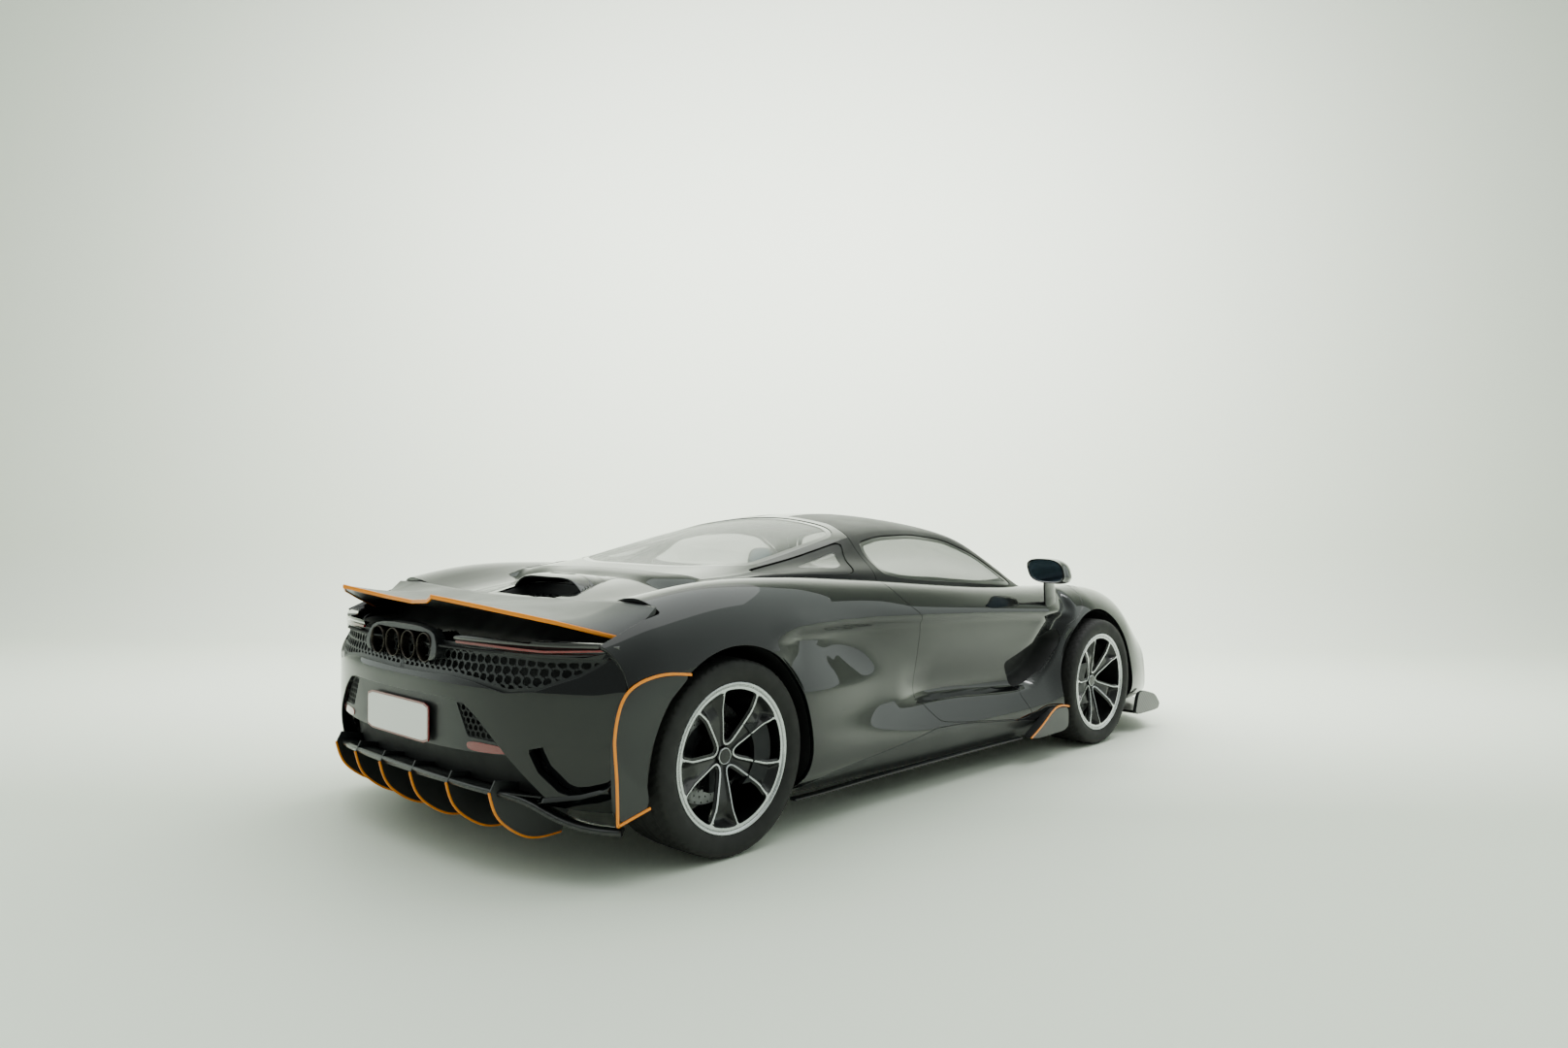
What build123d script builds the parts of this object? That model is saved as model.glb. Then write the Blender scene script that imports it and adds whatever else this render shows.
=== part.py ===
from build123d import *
import os

# A mid-engined two-seat supercar. Millimetres, +X forward, +Y to the car's left, +Z up.
# The origin is on the ground, under the middle of the car's overall length.

# ---- driving dimensions ------------------------------------------------------------------
wheelbase = 2670
front_axle_x = 1192
rear_axle_x = front_axle_x - wheelbase
tyre_face_y = 955            # outer face of every tyre, from the centre plane
front_tyre_radius = 327
front_tyre_width = 245
front_rim_radius = 243
rear_tyre_radius = 345.5
rear_tyre_width = 305
rear_rim_radius = 255
rim_lip = 16                 # the flange stands this far above the tyre's seat
barrel_wall = 9
spindle_radius = 28
bore_clearance = 1
seat_clearance = 0.3
front_disc_radius = 190
rear_disc_radius = 185
disc_thickness = 32
front_arch_radius = 376
rear_arch_radius = 388
arch_lift = 9                # the arches' centres stand this far above the wheels'
liner_wall = 8
liner_hole = 190             # arms and shafts pass the inner wall of a wheel house here
front_liner_y = 535
rear_liner_y = 470
skin = 22                    # body panels, with their inner stiffening
door_wall = 88
door_edge_wall = 44          # the door is thinner than this along its rear edge, to swing clear
door_hinge = (1100, 790, 820)
door_pin = 6
door_pin_end = 6             # the two halves of a door's pin meet this far behind the hinge point
frame_wall = 30              # roof frame and door window frames
glass_wall = 6
glass_inset = 7
panel_gap = 6
steer_pin_y = 822            # steering axis of a front wheel, from the centre plane
nose_x = 2268
tail_x = -2236
station_step = 150           # spacing of the cross sections that the skin runs through
pipe_radius = 49
pipe_wall = 4
pipe_spacing = 113
pipe_z = 722
wing_pivot = (-1812, 858)    # hinge line of the wing, (x, z)
ram_y = 350
ram_radius = 11
hinge_eye = 15
eye_width = 14
guide_foot = 700             # lower end of the tubes that guide the wing's rams
plate_width = 446
plate_height = 139
plate_z = 466
carrier_x = tail_x + 20      # the number plate's carrier stands back from the tail's face
cutter = 1200                # half length of the prisms that cut the panels apart

os.makedirs("parts", exist_ok=True)


def save(builder, name):
    """Label a finished piece and write its STEP file."""
    builder.part.label = name
    export_step(builder.part, f"parts/{name}.step")


# ---- the body's surface: points of each cross section, (half width, height) ---------------
# In order: floor edge, sill, flank, waist, shoulder, wing crest, valley, centre line.
BODY = {
    -2240: [(640, 300), (760, 400), (830, 500), (860, 620), (840, 720), (700, 790), (450, 770), (0, 770)],
    -2000: [(760, 230), (880, 300), (930, 460), (940, 610), (900, 750), (770, 840), (480, 810), (0, 815)],
    -1800: [(800, 190), (920, 268), (958, 450), (962, 620), (926, 795), (785, 898), (500, 840), (0, 850)],
    -1478: [(820, 170), (950, 250), (965, 450), (965, 640), (935, 830), (798, 948), (570, 882), (0, 915)],
    -1100: [(850, 140), (948, 215), (962, 430), (960, 620), (935, 815), (810, 950), (665, 922), (0, 945)],
    -600: [(850, 128), (905, 225), (890, 400), (890, 590), (915, 770), (825, 915), (700, 925), (0, 930)],
    -200: [(850, 125), (888, 227), (852, 390), (868, 570), (908, 745), (825, 885), (700, 890), (0, 900)],
    300: [(852, 123), (893, 232), (852, 385), (868, 560), (905, 725), (815, 850), (690, 860), (0, 880)],
    700: [(858, 121), (920, 235), (890, 390), (895, 560), (905, 710), (805, 830), (640, 835), (0, 850)],
    950: [(845, 128), (946, 236), (945, 400), (925, 570), (905, 720), (795, 825), (560, 795), (0, 815)],
    1192: [(820, 140), (950, 240), (950, 400), (935, 580), (900, 735), (780, 822), (500, 745), (0, 760)],
    1550: [(795, 148), (935, 220), (940, 370), (920, 530), (865, 675), (745, 768), (462, 670), (0, 668)],
    1800: [(755, 147), (880, 200), (890, 340), (860, 470), (800, 580), (715, 662), (440, 595), (0, 587)],
    2000: [(700, 140), (800, 200), (810, 310), (780, 410), (720, 485), (660, 540), (408, 522), (0, 520)],
    2290: [(450, 135), (500, 190), (510, 280), (500, 330), (480, 370), (430, 390), (280, 412), (0, 415)],
}
# The greenhouse above it: belt line, top of the side glass, and the height of the centre line.
HOUSE = {
    -1300: [(640, 935), (600, 938), (0, 962)],
    -1080: [(700, 950), (600, 955), (0, 1010)],
    -850: [(745, 945), (585, 1000), (0, 1080)],
    -600: [(785, 925), (575, 1052), (0, 1140)],
    -400: [(797, 905), (560, 1092), (0, 1172)],
    -150: [(802, 882), (548, 1118), (0, 1195)],
    100: [(803, 865), (560, 1112), (0, 1188)],
    350: [(797, 842), (618, 1060), (0, 1137)],
    600: [(782, 828), (735, 885), (0, 1042)],
    800: [(700, 812), (690, 820), (0, 945)],
    950: [(490, 810), (478, 818), (0, 864)],
    1000: [(250, 812), (240, 818), (0, 836)],
}
# Plan of the nose and of the tail, from the side to the centre: (x, distance from the centre plane).
NOSE = [(1600, 1050), (1890, 850), (2120, 600), (nose_x - 40, 300), (nose_x, 0)]
TAIL = [(-1850, 1050), (-1990, 900), (-2163, 600), (tail_x + 9, 300), (tail_x, 0)]
HOUSE_DEPTH = 38             # the greenhouse solid reaches this far below its belt line


def inward(points, wall):
    """Move every point of a half section inwards by wall, square to its neighbours' chord."""
    moved = []
    for i, (y, z) in enumerate(points):
        y0, z0 = points[max(i - 1, 0)]
        y1, z1 = points[min(i + 1, len(points) - 1)]
        if i == len(points) - 1:
            y0, z0, y1, z1 = 1, z, 0, z
        length = ((y1 - y0) ** 2 + (z1 - z0) ** 2) ** 0.5
        moved.append((y - wall * (z1 - z0) / length, z + wall * (y1 - y0) / length))
    moved[0] = (points[0][0] - wall, points[0][1] + wall)
    return moved


def between(table, x):
    """A section between the tabled ones: each point runs along a cubic through its neighbours."""
    stations = sorted(table)
    k = max(i for i in range(len(stations) - 1) if stations[i] <= x)
    x0, x1 = stations[k], stations[k + 1]
    before = stations[max(k - 1, 0)]
    after = stations[min(k + 2, len(stations) - 1)]
    t = (x - x0) / (x1 - x0)
    section = []
    for a, b, c, d in zip(table[before], table[x0], table[x1], table[after]):
        point = []
        for i in (0, 1):
            slope0 = (c[i] - a[i]) / (x1 - before) * (x1 - x0)
            slope1 = (d[i] - b[i]) / (after - x0) * (x1 - x0)
            hold = (2 * t**3 - 3 * t**2 + 1) * b[i] + (3 * t**2 - 2 * t**3) * c[i]
            point.append(hold + (t**3 - 2 * t**2 + t) * slope0 + (t**3 - t**2) * slope1)
        section.append(tuple(point))
    return section


def stations(table, step):
    """Evenly spaced stations over a table's length, about step apart."""
    low, high = min(table), max(table)
    count = round((high - low) / step)
    return [low + (high - low) * i / count for i in range(count)] + [high - 0.001]


def body_loft(wall):
    """The body's closed form, inset by wall, before its nose and tail are trimmed."""
    with BuildPart(mode=Mode.PRIVATE) as form:
        for x in stations(BODY, station_step):
            half = between(BODY, x)
            valley, centre = half[-2:]
            half.insert(-1, (valley[0] * 0.5, valley[1] + 0.75 * (centre[1] - valley[1])))
            right = inward(half, wall) if wall else half
            left = [(-y, z) for y, z in right[-2::-1]]
            with BuildSketch(Plane.YZ.offset(x)):
                with BuildLine():
                    top = Spline(*right, *left)
                    Line(top @ 1, top @ 0)
                make_face()
        loft(ruled=True)
        # trimmed in plan by a swept nose and a rounded tail
        with BuildSketch(Plane.XY):
            with BuildLine():
                nose = Spline(*[(x - wall, y) for x, y in NOSE], *[(x - wall, -y) for x, y in NOSE[-2::-1]])
                side = Line(nose @ 1, (TAIL[0][0] + wall, -TAIL[0][1]))
                tail = Spline(*[(x + wall, -y) for x, y in TAIL], *[(x + wall, y) for x, y in TAIL[-2::-1]])
                Line(tail @ 1, nose @ 0)
            make_face()
        extrude(amount=cutter, mode=Mode.INTERSECT)
    return form.part


def house_loft(wall):
    """The greenhouse's closed form, inset by wall."""
    with BuildPart(mode=Mode.PRIVATE) as form:
        for x in stations(HOUSE, station_step * 0.75):
            belt, cant, top = between(HOUSE, x)
            wide = belt[0] - wall
            foot = belt[1] - HOUSE_DEPTH
            edge_y, edge_z = cant[0] - wall, cant[1] - wall * 0.6
            rise = top[1] - wall - edge_z
            with BuildSketch(Plane.YZ.offset(x)):
                with BuildLine():
                    Polyline((edge_y, edge_z), (wide, belt[1]), (wide, foot), (-wide, foot),
                             (-wide, belt[1]), (-edge_y, edge_z))
                    Spline((-edge_y, edge_z), (-edge_y * 0.62, edge_z + rise * 0.7), (0, edge_z + rise),
                           (edge_y * 0.62, edge_z + rise * 0.7), (edge_y, edge_z))
                make_face()
        loft(ruled=True)
    return form.part


def beside(outline, side, near, far, grow=0):
    """Prism of a side-view outline between two distances from the centre plane."""
    with BuildPart(mode=Mode.PRIVATE) as prism:
        with BuildSketch(Plane.XZ.offset(-side * near)):
            with BuildLine():
                Polyline(*outline, close=True)
            make_face()
            if grow:
                offset(amount=grow, kind=Kind.INTERSECTION)
        extrude(amount=-side * (far - near))
    return prism.part


def over(outline, low, high, grow=0):
    """Prism of a plan outline, given as its left half, between two heights."""
    right = [(x, -y) for x, y in reversed(outline) if y > 0]
    with BuildPart(mode=Mode.PRIVATE) as prism:
        with BuildSketch(Plane.XY.offset(low)):
            with BuildLine():
                Polyline(*outline, *right, close=True)
            make_face()
            if grow:
                offset(amount=grow, kind=Kind.INTERSECTION)
        extrude(amount=high - low)
    return prism.part


def behind(outline, x0, x1, side=1):
    """Prism of a rear-view outline, (distance from the centre plane, height), between two stations."""
    with BuildPart(mode=Mode.PRIVATE) as prism:
        with BuildSketch(Plane.YZ.offset(x0)):
            with BuildLine():
                Polyline(*[(side * y, z) for y, z in outline], close=True)
            make_face()
        extrude(amount=x1 - x0)
    return prism.part


def drum(x, z, radius, near, far, side=1):
    """Cylinder along Y between two distances from the centre plane."""
    with BuildPart(mode=Mode.PRIVATE) as form:
        with BuildSketch(Plane.XZ.offset(-side * near)):
            with Locations((x, z)):
                Circle(radius)
        extrude(amount=-side * (far - near))
    return form.part


def ring(x, z, radius, hole, near, far, side):
    """Tube along Y between two distances from the centre plane."""
    with BuildPart(mode=Mode.PRIVATE) as form:
        with BuildSketch(Plane.XZ.offset(-side * near)):
            with Locations((x, z)):
                Circle(radius)
                Circle(hole, mode=Mode.SUBTRACT)
        extrude(amount=-side * (far - near))
    return form.part


def rod(start, end, radius):
    """Round bar between two points."""
    a = Vector(*start)
    b = Vector(*end)
    with BuildPart(mode=Mode.PRIVATE) as bar:
        with BuildSketch(Plane(origin=a, z_dir=b - a)):
            Circle(radius)
        extrude(amount=(b - a).length)
    return bar.part


def hinge_rod(side, start, end, radius):
    """Bar along a door's hinge line, between two distances from the hinge point towards the roof."""
    run = Vector(-0.7259, -side * 0.6113, 0.3152)
    origin = Vector(door_hinge[0], side * door_hinge[1], door_hinge[2])
    return rod(origin + run * start, origin + run * end, radius)


def slab(x, y, z):
    """Box between two stations, two widths and two heights."""
    with BuildPart(mode=Mode.PRIVATE) as form:
        with Locations(((x[0] + x[1]) / 2, (y[0] + y[1]) / 2, (z[0] + z[1]) / 2)):
            Box(x[1] - x[0], y[1] - y[0], z[1] - z[0])
    return form.part


# ---- outlines of the panels --------------------------------------------------------------
# Side views, (x, z).
DOOR = [(-140, 279), (594, 205), (478, 352), (640, 450), (820, 556), (890, 640), (985, 672),
        (1075, 735), (1112, 830), (1112, 900), (700, 1000), (600, 1260), (-300, 1260), (-421, 1090),
        (-525, 915), (-432, 821), (-333, 759), (-305, 413), (-214, 333)]
DOOR_OUTLET = [(364, 475), (890, 650), (830, 540), (640, 434), (470, 336)]
DOOR_WINDOW = [(-462, 926), (-400, 1070), (-242, 1096), (0, 1103), (210, 1078), (400, 1000),
               (575, 868), (560, 850)]
QUARTER_WINDOW = [(-632, 942), (-482, 1078), (-800, 1012), (-1085, 962)]
SKIRT = [(-1085, 90), (-1085, 196), (-402, 236), (-140, 273), (594, 199), (805, 178), (850, 90)]
SIDE_BLADE = [(480, 132), (604, 192), (718, 250), (838, 241), (838, 127), (560, 122)]
REAR_BLADE = [(-1981, 209), (-1992, 549), (-1960, 620), (-1883, 662), (-1700, 668),
              (-1812, 570), (-1878, 400), (-1850, 240)]
SPLITTER_END = [(1600, 96), (1640, 215), (1700, 225), (1850, 190), (1915, 130), (1890, 96)]
# Plan views, (x, distance from the centre plane).
VENT_ROOF = [(-1400, 895), (-1560, 922), (-1708, 926), (-1708, 840), (-1400, 840)]
DOOR_ROOF = [(-310, 90), (-352, 380), (-421, 545), (-470, 700), (-525, 820), (-525, 1100),
             (1140, 1100), (1140, 738), (700, 738), (625, 752), (372, 552), (345, 400), (335, 90)]
WINDSCREEN = [(1010, 0), (1010, 300), (930, 480), (820, 610), (735, 668), (620, 690), (415, 520),
              (385, 400), (375, 0)]
REAR_WINDOW = [(-350, 0), (-392, 380), (-465, 522), (-600, 535), (-850, 545), (-1060, 540),
               (-1215, 251), (-1228, 0)]
LID = [(1950, 0), (1930, 230), (1850, 390), (1500, 455), (1135, 500), (1135, 0)]
ENGINE_COVER = [(-1250, 0), (-1235, 255), (-1095, 500), (-1500, 440), (-1700, 400), (-1720, 0)]
# Rear views, (distance from the centre plane, z).
REAR_GRILLE = [(0, 636), (-330, 630), (-520, 610), (-700, 628), (-885, 706), (-800, 722), (-500, 736),
               (-330, 746), (0, 746), (330, 746), (500, 736), (800, 722), (885, 706), (700, 628),
               (520, 610), (330, 630)]
TAIL_LAMP = [(312, 768), (520, 764), (760, 748), (885, 762), (905, 752), (800, 728), (500, 742), (330, 752)]
RECESS = [(0, 566), (330, 570), (400, 564), (470, 520), (560, 440), (640, 372), (640, 312), (0, 312)]
# Front views, (distance from the centre plane, z).
NOSE_INTAKE = [(0, 176), (330, 176), (420, 196), (400, 262), (300, 282), (0, 286)]
CORNER_INTAKE = [(520, 200), (640, 214), (655, 330), (610, 350), (540, 300)]
RECESS_COLLAR = [(0, 578), (334, 582), (408, 576), (482, 529), (573, 448), (652, 377), (652, 300), (0, 300)]
NOSE_COLLAR = [(0, 164), (334, 164), (434, 187), (412, 272), (305, 294), (0, 298)]
HEADLAMP = [(1690, 640), (1850, 700), (2010, 640), (2060, 560), (1960, 520), (1760, 560)]

body_outer = body_loft(0)
body_inner = body_loft(skin)
recess_depth = 46            # plate recess and intakes: from the skin back to their inner wall
recess_wall = 8
recess_core = body_loft(recess_depth + recess_wall)
recess_shell = body_loft(recess_depth) - recess_core
door_edge = body_loft(door_edge_wall)
door_inner = body_loft(door_wall)
house_outer = house_loft(0)
house_inner = house_loft(frame_wall)
glass_outer = house_loft(glass_inset)
glass_inner = house_loft(glass_inset + glass_wall)
body_shell = body_outer - body_inner
house_shell = house_outer - house_inner
glass_shell = glass_outer - glass_inner
# what the cabin's roof and glass take out of the body's top
cabin_hole = house_outer

front_arch = (front_axle_x, front_tyre_radius + arch_lift, front_arch_radius, front_liner_y)
rear_arch = (rear_axle_x, rear_tyre_radius + arch_lift, rear_arch_radius, rear_liner_y)


def door_space(side, grow):
    """What one door takes out of the body and the roof, with a gap all round."""
    column = beside(DOOR, side, 20, 1000, grow)
    plan = [(x, side * y) for x, y in DOOR_ROOF]
    with BuildPart(mode=Mode.PRIVATE) as space:
        with BuildSketch(Plane.XY):
            with BuildLine():
                Polyline(*plan, close=True)
            make_face()
            if grow:
                offset(amount=grow, kind=Kind.INTERSECTION)
        extrude(amount=1300)
        add(column, mode=Mode.INTERSECT)
    return space.part


door_gaps = door_space(1, panel_gap) + door_space(-1, panel_gap)


def add_liners(arch):
    """Wheel houses: an arched wall and a flat inner wall on each side, cut to the body's skin."""
    x, z, radius, near = arch
    for side in (1, -1):
        with BuildPart(mode=Mode.PRIVATE) as house:
            add(ring(x, z, radius + liner_wall, radius, near, 985, side))
            add(ring(x, z, radius + liner_wall, liner_hole, near - liner_wall, near, side))
            add(body_outer, mode=Mode.INTERSECT)
        add(house.part)


def cut_arches(arch):
    x, z, radius, near = arch
    for side in (1, -1):
        add(drum(x, z, radius, near, 1100, side), mode=Mode.SUBTRACT)


# ---- outer panels ------------------------------------------------------------------------
lid_space = over(LID, 430, 1000, panel_gap)
cover_space = over(ENGINE_COVER, 600, 1000, panel_gap)
front_floor_top = 185
front_floor_half = 760
lid_pivot = (1141, 767.5)    # hinge line of the luggage lid, (x, z)
lid_hinge_y = 60
lid_pin = 5
lid_pin_length = 18
rear_floor_top = 360
tub_half_width = 745
floor_half_width = 700
tub_x = (-560, 1012)


def wing_section(y):
    """Leading and trailing edge of the rear wing at a distance from the centre plane."""
    spans = [0, 150, 322, 480, 700, 872]
    lead = [(-1800, 872), (-1800, 874), (-1800, 878), (-1798, 884), (-1790, 892), (-1776, 884)]
    trail = [(-2180, 868), (-2205, 880), (-2287, 911), (-2205, 885), (-2050, 836), (-1892, 781)]
    k = spans.index(y)
    return lead[k], trail[k]


WING_SPANS = (-872, -700, -480, -322, -150, 0, 150, 322, 480, 700, 872)


def wing_form(above, below, margin):
    """The wing's swept form, with room above and below it and a margin at its edges."""
    with BuildPart(mode=Mode.PRIVATE) as form:
        for y in WING_SPANS:
            (lx, lz), (tx, tz) = wing_section(abs(y))
            y += margin * (y == WING_SPANS[-1]) - margin * (y == WING_SPANS[0])
            lx += margin
            tx -= 1.5 * margin
            belly = (lx + tx) / 2
            with BuildSketch(Plane.XZ.offset(-y)):
                with BuildLine():
                    Polyline((lx, lz + above), (tx, tz + above), (tx, tz - below * 0.5),
                             (belly, (lz + tz) / 2 - 4 - below), (lx, lz - below * 0.7), close=True)
                make_face()
        loft(ruled=True)
    return form.part


wing_thickness = 24
wing_room = wing_form(200, wing_thickness + 9, panel_gap + 3)
# the wing's leading edge swings down about its pivot inside these drums, wider towards its ends
wing_room += drum(*wing_pivot, 36, -480, 480)
for side in (1, -1):
    wing_room += drum(*wing_pivot, 50, 470, 872 + panel_gap + 3, side)
wing_tilt = 28               # degrees of the wing's swing about its pivot
tilt_steps = 8
for share in range(1, tilt_steps + 1):
    wing_room += wing_form(0, wing_thickness + 7, panel_gap + 4).rotate(
        Axis((wing_pivot[0], 0, wing_pivot[1]), (0, 1, 0)), wing_tilt * share / tilt_steps)
ledge_wall = 6
ledge_outer = body_loft(skin + seat_clearance)
ledge_inner = body_loft(skin + seat_clearance + ledge_wall)


def ledge(outline):
    """Ledge that a lid rests on: a step joined to the skin outside the lid's gap."""
    with BuildPart(mode=Mode.PRIVATE) as step:
        add(ledge_outer)
        add(ledge_inner, mode=Mode.SUBTRACT)
        add(over(outline, 430, 1000, panel_gap + 2 * ledge_wall), mode=Mode.INTERSECT)
        add(over(outline, 430, 1000, -2 * ledge_wall), mode=Mode.SUBTRACT)
    with BuildPart(mode=Mode.PRIVATE) as wall:
        add(body_outer)
        add(ledge_inner, mode=Mode.SUBTRACT)
        add(over(outline, 430, 1000, panel_gap + 2 * ledge_wall), mode=Mode.INTERSECT)
        add(over(outline, 430, 1000, panel_gap), mode=Mode.SUBTRACT)
        add(step.part)
    return wall.part


def lamp_column(side, grow):
    """Upright prism of a headlamp's outline."""
    with BuildPart(mode=Mode.PRIVATE) as column:
        with BuildSketch(Plane.XY.offset(380)):
            with BuildLine():
                Polyline(*[(x, side * y) for x, y in HEADLAMP], close=True)
            make_face()
            if grow:
                offset(amount=grow, kind=Kind.INTERSECTION)
        extrude(amount=400)
    return column.part


louvre_count = 4
louvre_pitch = 46
louvre_start = (1040, 690)   # first louvre over the front wheel: station, distance from centre


def louvre_slot(side, k):
    """One slot through the top of the wing, ahead of the one before."""
    x, y = louvre_start
    near, far = sorted((side * y, side * (y + 120)))
    return slab((x + k * louvre_pitch, x + k * louvre_pitch + 16), (near, far), (700, 900))


def both_halves(outline):
    """A rear-view or front-view outline and its mirror image as one."""
    return outline + [(-y, z) for y, z in reversed(outline) if y > 0]


def recess_collar(collar, opening, x0, x1):
    """Side walls of a recess: from the skin in to its back, round the opening."""
    with BuildPart(mode=Mode.PRIVATE) as walls:
        add(behind(both_halves(collar), x0, x1))
        add(body_outer, mode=Mode.INTERSECT)
        add(recess_core, mode=Mode.SUBTRACT)
        add(behind(both_halves(opening), x0, x1), mode=Mode.SUBTRACT)
    return walls.part


def vent(side):
    """Raised outlet on the engine cover: its outer form and the duct through it."""
    roof = [(x, z - vent_wall * (z > 850)) for x, z in VENT_ROOF]
    duct = [(x - 20 * (x < -1700), z) for x, z in roof[1:4]] + [(-1450, 840), (-1450, roof[0][1] + 4)]
    near, far = vent_y
    return beside(VENT_ROOF, side, near, far), beside(duct, side, near + vent_wall, far - vent_wall)


vent_wall = 9
vent_y = (170, 385)


def pipe_slot(depth):
    """Rounded slot round the four tail pipes, through the tail's wall."""
    with BuildPart(mode=Mode.PRIVATE) as slot:
        with BuildSketch(Plane.YZ.offset(-2400)):
            with Locations((0, pipe_z)):
                SlotCenterToCenter(3 * pipe_spacing, 2 * pipe_radius + 14)
        extrude(amount=depth)
    return slot.part


with BuildPart() as body_front:
    add(body_shell)
    add(slab((480, 2400), (-1100, 1100), (0, 1300)), mode=Mode.INTERSECT)
    add(slab((1000, 2400), (-front_floor_half, front_floor_half), (0, front_floor_top)),
        mode=Mode.SUBTRACT)
    add(slab((400, tub_x[1] + 2), (-front_floor_half, front_floor_half), (0, 400)),
        mode=Mode.SUBTRACT)
    with BuildPart(mode=Mode.PRIVATE) as lid_ledge:
        add(ledge(LID))
        add(slab((lid_pivot[0] + 25, 2400), (-1100, 1100), (0, 1300)), mode=Mode.INTERSECT)
    add(lid_ledge.part)
    add(cabin_hole, mode=Mode.SUBTRACT)
    add(lid_space, mode=Mode.SUBTRACT)
    add(beside(SKIRT, 1, -1000, 1000, panel_gap), mode=Mode.SUBTRACT)
    cut_arches(front_arch)
    add_liners(front_arch)
    add(slab((400, 2400), (-front_floor_half, front_floor_half), (0, 150)), mode=Mode.SUBTRACT)
    add(door_gaps, mode=Mode.SUBTRACT)
    for side in (1, -1):
        add(hinge_rod(side, -door_pin_end, 60, door_pin + 4), mode=Mode.SUBTRACT)
        add(hinge_rod(side, -45, -door_pin_end, door_pin))
        near, far = sorted((side * lid_hinge_y, side * (lid_hinge_y + lid_pin_length)))
        add(drum(*lid_pivot, lid_pin, lid_hinge_y, lid_hinge_y + lid_pin_length, side))
        add(slab((lid_pivot[0] - 25, lid_pivot[0]), (near, far), (lid_pivot[1] - lid_pin, lid_pivot[1])))
    for side in (1, -1):
        add(lamp_column(side, 0), mode=Mode.SUBTRACT)
        add(behind(CORNER_INTAKE, 1950, 2400, side), mode=Mode.SUBTRACT)
        for k in range(louvre_count):
            add(louvre_slot(side, k), mode=Mode.SUBTRACT)
    add(behind(both_halves(NOSE_INTAKE), 2150, 2400), mode=Mode.SUBTRACT)
    with BuildPart(mode=Mode.PRIVATE) as backs:
        add(recess_shell)
        add(slab((1950, 2400), (-650, 650), (front_floor_top, 340)), mode=Mode.INTERSECT)
    add(backs.part)
    with BuildPart(mode=Mode.PRIVATE) as nose_walls:
        add(recess_collar(NOSE_COLLAR, NOSE_INTAKE, 2100, 2400))
        add(slab((2100, 2400), (-700, 700), (front_floor_top, 400)), mode=Mode.INTERSECT)
    add(nose_walls.part)
save(body_front, "body_front")

with BuildPart() as luggage_lid:
    add(body_shell)
    add(over(LID, 430, 1000), mode=Mode.INTERSECT)
    lid_pin_end = lid_hinge_y + lid_pin_length + seat_clearance
    for side in (1, -1):
        near, far = sorted((side * (lid_hinge_y - 3), side * (lid_pin_end + 3)))
        add(slab((1100, lid_pivot[0] + 9), (near, far), (600, 1000)), mode=Mode.SUBTRACT)
        near, far = sorted((side * lid_pin_end, side * (lid_pin_end + lid_pin_length)))
        add(drum(*lid_pivot, lid_pin, lid_pin_end, lid_pin_end + lid_pin_length, side))
        add(slab((lid_pivot[0], lid_pivot[0] + 20), (near, far), (lid_pivot[1] - lid_pin, lid_pivot[1])))
save(luggage_lid, "luggage_lid")

with BuildPart() as front_floor:
    add(body_shell)
    floor_half = front_floor_half - seat_clearance
    add(slab((tub_x[1] + seat_clearance, 2400), (-floor_half, floor_half),
             (0, front_floor_top - seat_clearance)), mode=Mode.INTERSECT)
    for side in (1, -1):
        add(drum(*front_arch[:2], front_arch_radius + liner_wall + 1, front_liner_y - 20, 1100, side),
            mode=Mode.SUBTRACT)
save(front_floor, "front_floor")

with BuildPart() as body_rear:
    add(body_shell)
    add(slab((-2400, -140), (-1100, 1100), (0, 1300)), mode=Mode.INTERSECT)
    add(slab((-2400, -140), (-floor_half_width, floor_half_width), (0, rear_floor_top)),
        mode=Mode.SUBTRACT)
    add(slab((-570, -100), (-760, 760), (0, 700)), mode=Mode.SUBTRACT)
    add(door_gaps, mode=Mode.SUBTRACT)
    add(cabin_hole, mode=Mode.SUBTRACT)
    add(cover_space, mode=Mode.SUBTRACT)
    add(ledge(ENGINE_COVER) - house_outer)
    add(beside(SKIRT, 1, -1000, 1000, panel_gap), mode=Mode.SUBTRACT)
    cut_arches(rear_arch)
    add_liners(rear_arch)
    add(wing_room, mode=Mode.SUBTRACT)
    add(behind(REAR_GRILLE, -2400, -1880), mode=Mode.SUBTRACT)
    add(behind(both_halves(RECESS), -2400, -2040), mode=Mode.SUBTRACT)
    with BuildPart(mode=Mode.PRIVATE) as recess:
        add(recess_shell)
        add(recess_collar(RECESS_COLLAR, RECESS, -2400, -2040))
        add(slab((-2400, -2040), (-652, 652), (rear_floor_top, 585)), mode=Mode.INTERSECT)
    add(recess.part)
    add(slab((carrier_x, tail_x + recess_depth + 2), (-plate_width / 2 + 20, plate_width / 2 - 20),
             (plate_z - plate_height / 2 + 15, plate_z + plate_height / 2 - 15)))
    add(pipe_slot(500), mode=Mode.SUBTRACT)
    for side in (1, -1):
        add(behind(TAIL_LAMP, -2400, -1870, side), mode=Mode.SUBTRACT)
        with BuildPart(mode=Mode.PRIVATE) as guide:
            with BuildSketch(Plane.XY.offset(guide_foot)):
                with Locations((wing_pivot[0], side * ram_y)):
                    Circle(2 * ram_radius)
            extrude(amount=400)
            add(body_outer, mode=Mode.INTERSECT)
            add(wing_room, mode=Mode.SUBTRACT)
        add(guide.part)
        with BuildPart(mode=Mode.PRIVATE) as bore:
            with BuildSketch(Plane.XY.offset(600)):
                with Locations((wing_pivot[0], side * ram_y)):
                    Circle(ram_radius + seat_clearance)
            extrude(amount=400)
        add(bore.part, mode=Mode.SUBTRACT)
save(body_rear, "body_rear")

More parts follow.
